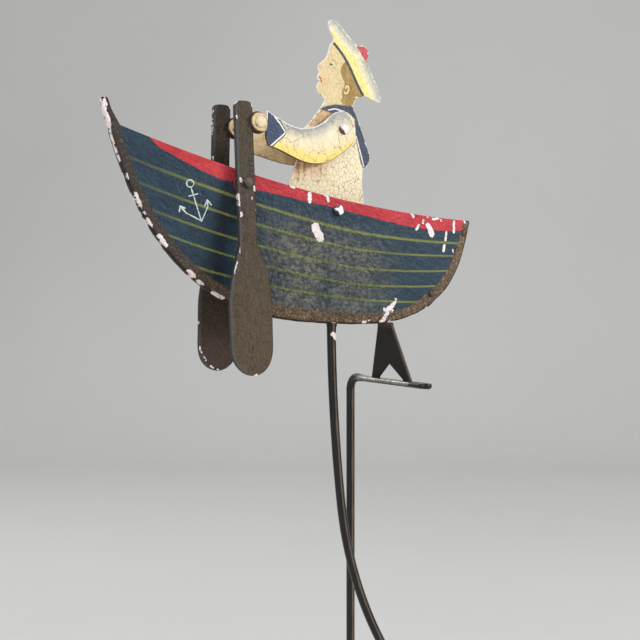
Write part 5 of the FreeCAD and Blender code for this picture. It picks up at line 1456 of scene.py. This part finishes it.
def oar_rings(side, top):
    """Rows between the two edges; out over the crowned face and back along the flat one."""
    fore, aft = drawn_line(oar_edge(top, -1), 240), drawn_line(oar_edge(top, 1), 240)
    part = np.linspace(0, 1, 30)[None]
    x = fore[:, :1] + (aft[:, :1] - fore[:, :1]) * part
    z = fore[:, 1:] + (aft[:, 1:] - fore[:, 1:]) * part
    crown = OAR_CREST - (OAR_CROWN - np.sqrt(OAR_CROWN ** 2 - x ** 2))
    crown = crown + 0.1 * waves(x / 5, z / 12, 81)
    around_x = np.concatenate([x, x[:, ::-1]], axis=1)
    around_z = np.concatenate([z, z[:, ::-1]], axis=1)
    out = np.concatenate([crown, 0 * crown], axis=1)
    y = OAR_SEAT + out * math.cos(OAR_SPLAY) - around_z * math.sin(OAR_SPLAY)
    up = around_z * math.cos(OAR_SPLAY) + out * math.sin(OAR_SPLAY)
    rings = places_at(OAR_X + around_x, side * y, OAR_Z + up)
    edge = np.minimum(around_x - fore[:, :1], aft[:, :1] - around_x)
    return rings, around_x, around_z, np.maximum(edge, 0)


def oar_finish(name, dark, middle, light, low_tint):
    """Brown-grey with fine grain lengthwise, paler low on the blade, and chips to the primer."""
    material, shader, here = finish(name, Specular_IOR_Level=0.2)
    grain = mottle(stretched(here, 1, 1, 0.22), 1.6, 1.2)
    slow = mottle(stretched(here, 1, 1, 0.6), 14.0, 1.1)
    fine = mottle(here, 1.3, 1.3)
    pits = flakes(here, 3.2, 0.6)
    creased = use(WRINKLE, Vector=stretched(here, 1.2, 1, 0.7), Size=6.5)
    colour = blend(grain, dark, middle)
    colour = blend(slow * 0.55, colour, light)
    colour = blend(band(mark(here, "down"), -20, -110) * 0.5, colour, low_tint)
    colour = blend(pits * 0.5, colour, (44, 36, 31))
    # Painted shade in the creases of the wrinkled paint.
    colour = blend(creased["Crease"] * (slow * 0.6), colour, (36, 29, 25))
    colour = blend(fine * 0.18, colour, (140, 124, 104))
    edge = mark(here, "edge")
    # Painted reflection of the sky: blue-grey along the fore edge.
    sky_reflection = band(edge, 2.6, 0.9) * mark(here, "fore")
    colour = blend(sky_reflection * 0.55, colour, (96, 100, 104))
    colour = blend(band(edge, 0.7, 0.35) * 0.6, colour, (38, 34, 34))
    lost = use(CHIP, Vector=here, Distance=mark(here, "chip"), Rough=1.1)
    colour = blend(lost["Lip"] * 0.5, colour, (30, 26, 26))
    colour = blend(lost["Mask"], colour, primer(here))
    height = creased["Height"] + fine * 0.5 - lost["Mask"]
    coat(shader, colour, spread(fine, 0.42, 0.66), height, 1.0)
    return material


NEAR_OAR = oar_finish("oar_brown", (56, 48, 41), (88, 76, 64), (92, 81, 68), (94, 78, 56))
# The starboard oar: a darker copy of the near oar's finish, as painted shade.
FAR_OAR = oar_finish("oar_shaded_brown", (26, 21, 20), (46, 37, 32), (52, 42, 35), (76, 59, 44))
OARS = ((-1, "port", PORT_TOP, OAR_CHIPS, NEAR_OAR),
        (1, "starboard", STARBOARD_TOP, FAR_OAR_CHIPS, FAR_OAR))
for side, label, top, chips, paint in OARS:
    rings, local_x, local_z, edge = oar_rings(side, top)
    numbers = {"edge": edge, "down": local_z, "fore": (local_x < 0) * 1.0,
               "chip": stroke_distance(local_x, local_z, chips)}
    oar = surface(f"oar_cut_{label}", rings, numbers, ring=True)
    softened(oar, 0.5)
    settle(oar, f"oar_{label}", "oar_paint", paint, f"oar_{label}")
    # The ear beside the handle that takes the hand's rivet.
    angle = full_turn(64)
    out = np.linspace(0, 1, 10)[:, None]
    ear_x = HAND_X - OAR_X + EAR_RADIUS * out * np.cos(angle)
    ear_z = HAND_Z - OAR_Z + EAR_RADIUS * out * np.sin(angle)
    middle_y = OAR_SEAT + EAR_OUT * math.cos(OAR_SPLAY) - ear_z * math.sin(OAR_SPLAY)
    ear = places_at(OAR_X + ear_x, side * middle_y, OAR_Z + ear_z)
    numbers = {"edge": EAR_RADIUS * (1 - out), "down": ear_z, "fore": 0, "chip": 20}
    ear_piece = surface(f"oar_ear_{label}", ear, numbers, ring=True)
    walled(face_towards(ear_piece, side), EAR_PLATE, 0, 0.4)
    settle(ear_piece, f"oar_{label}", "oar_paint", paint, f"oar_{label}")

# ---------------------------------------------------------------- room
# A pale table top that runs up into a pale wall, lit softly from the front and above.
EYE_PLACE = (-0.4840, -0.7326, 0.4271)
EYE_TURN = math.radians(30)
WALL_FAR, WALL_HIGH, ROOM_NEAR, ROOM_HALF, COVE_RADIUS = 2500, 3600, 3000, 4200, 600


def cove():
    """Floor and wall in one sheet: flat, a quarter round and straight up."""
    turn = np.linspace(0, math.pi / 2, 24)
    corner = WALL_FAR - COVE_RADIUS
    reach = np.concatenate([[-ROOM_NEAR], corner + COVE_RADIUS * np.sin(turn), [WALL_FAR]])
    rise = np.concatenate([[0], COVE_RADIUS - COVE_RADIUS * np.cos(turn), [WALL_HIGH]])
    across = np.linspace(-ROOM_HALF, ROOM_HALF, 12)[:, None]
    heading = np.array([0.5, 0.866])
    x = reach[None] * heading[0] + across * heading[1]
    y = reach[None] * heading[1] - across * heading[0]
    return places_at(x, y, rise[None] - 1000 * PIVOT_Z)


room = surface("room", cove())
wall, wall_shader, wall_here = finish("pale_wall", Roughness=0.95)
wall_tone = mottle(wall_here, 700.0, 0.5)
coat(wall_shader, blend(wall_tone, (206, 206, 204), (214, 214, 211)))
room.data.materials.append(wall)

world = bpy.data.worlds.new("soft_room")
bpy.context.scene.world = world
world.use_nodes = True
feed(world.node_tree.nodes["Background"], {"Color": (0.97, 0.985, 1.0, 1), "Strength": 0.52})


def softbox(name, place, aim, width, height, watts):
    """An area lamp that looks at a place."""
    lamp = bpy.data.lights.new(name, "AREA")
    lamp.shape = "RECTANGLE"
    lamp.size, lamp.size_y = width, height
    lamp.energy = watts
    holder = bpy.data.objects.new(name, lamp)
    bpy.context.scene.collection.objects.link(holder)
    look = np.array(aim, float) - np.array(place, float)
    yaw = math.atan2(look[1], look[0]) - math.pi / 2
    pitch = math.atan2(look[2], math.hypot(look[0], look[1]))
    holder.location = place
    holder.rotation_euler = (math.pi / 2 + pitch, 0, yaw)


softbox("window", (1.45, -1.5, 1.3), (-0.05, 0, 0.45), 0.7, 0.7, 34)
softbox("fill", (-1.5, -0.9, 1.0), (-0.05, 0, 0.4), 0.9, 0.9, 10)
softbox("back", (-0.5, 1.4, 1.7), (-0.05, 0, 0.45), 1.2, 1.0, 12)

camera_data = bpy.data.cameras.new("camera")
camera_data.lens = 66.66
camera_data.sensor_width = 36
camera_data.shift_y = -0.0547
camera_data.clip_start = 0.05
camera = bpy.data.objects.new("camera", camera_data)
camera.location = EYE_PLACE
camera.rotation_euler = (math.pi / 2, 0, -EYE_TURN)
bpy.context.scene.collection.objects.link(camera)
bpy.context.scene.camera = camera
bpy.context.scene.view_settings.view_transform = "Standard"
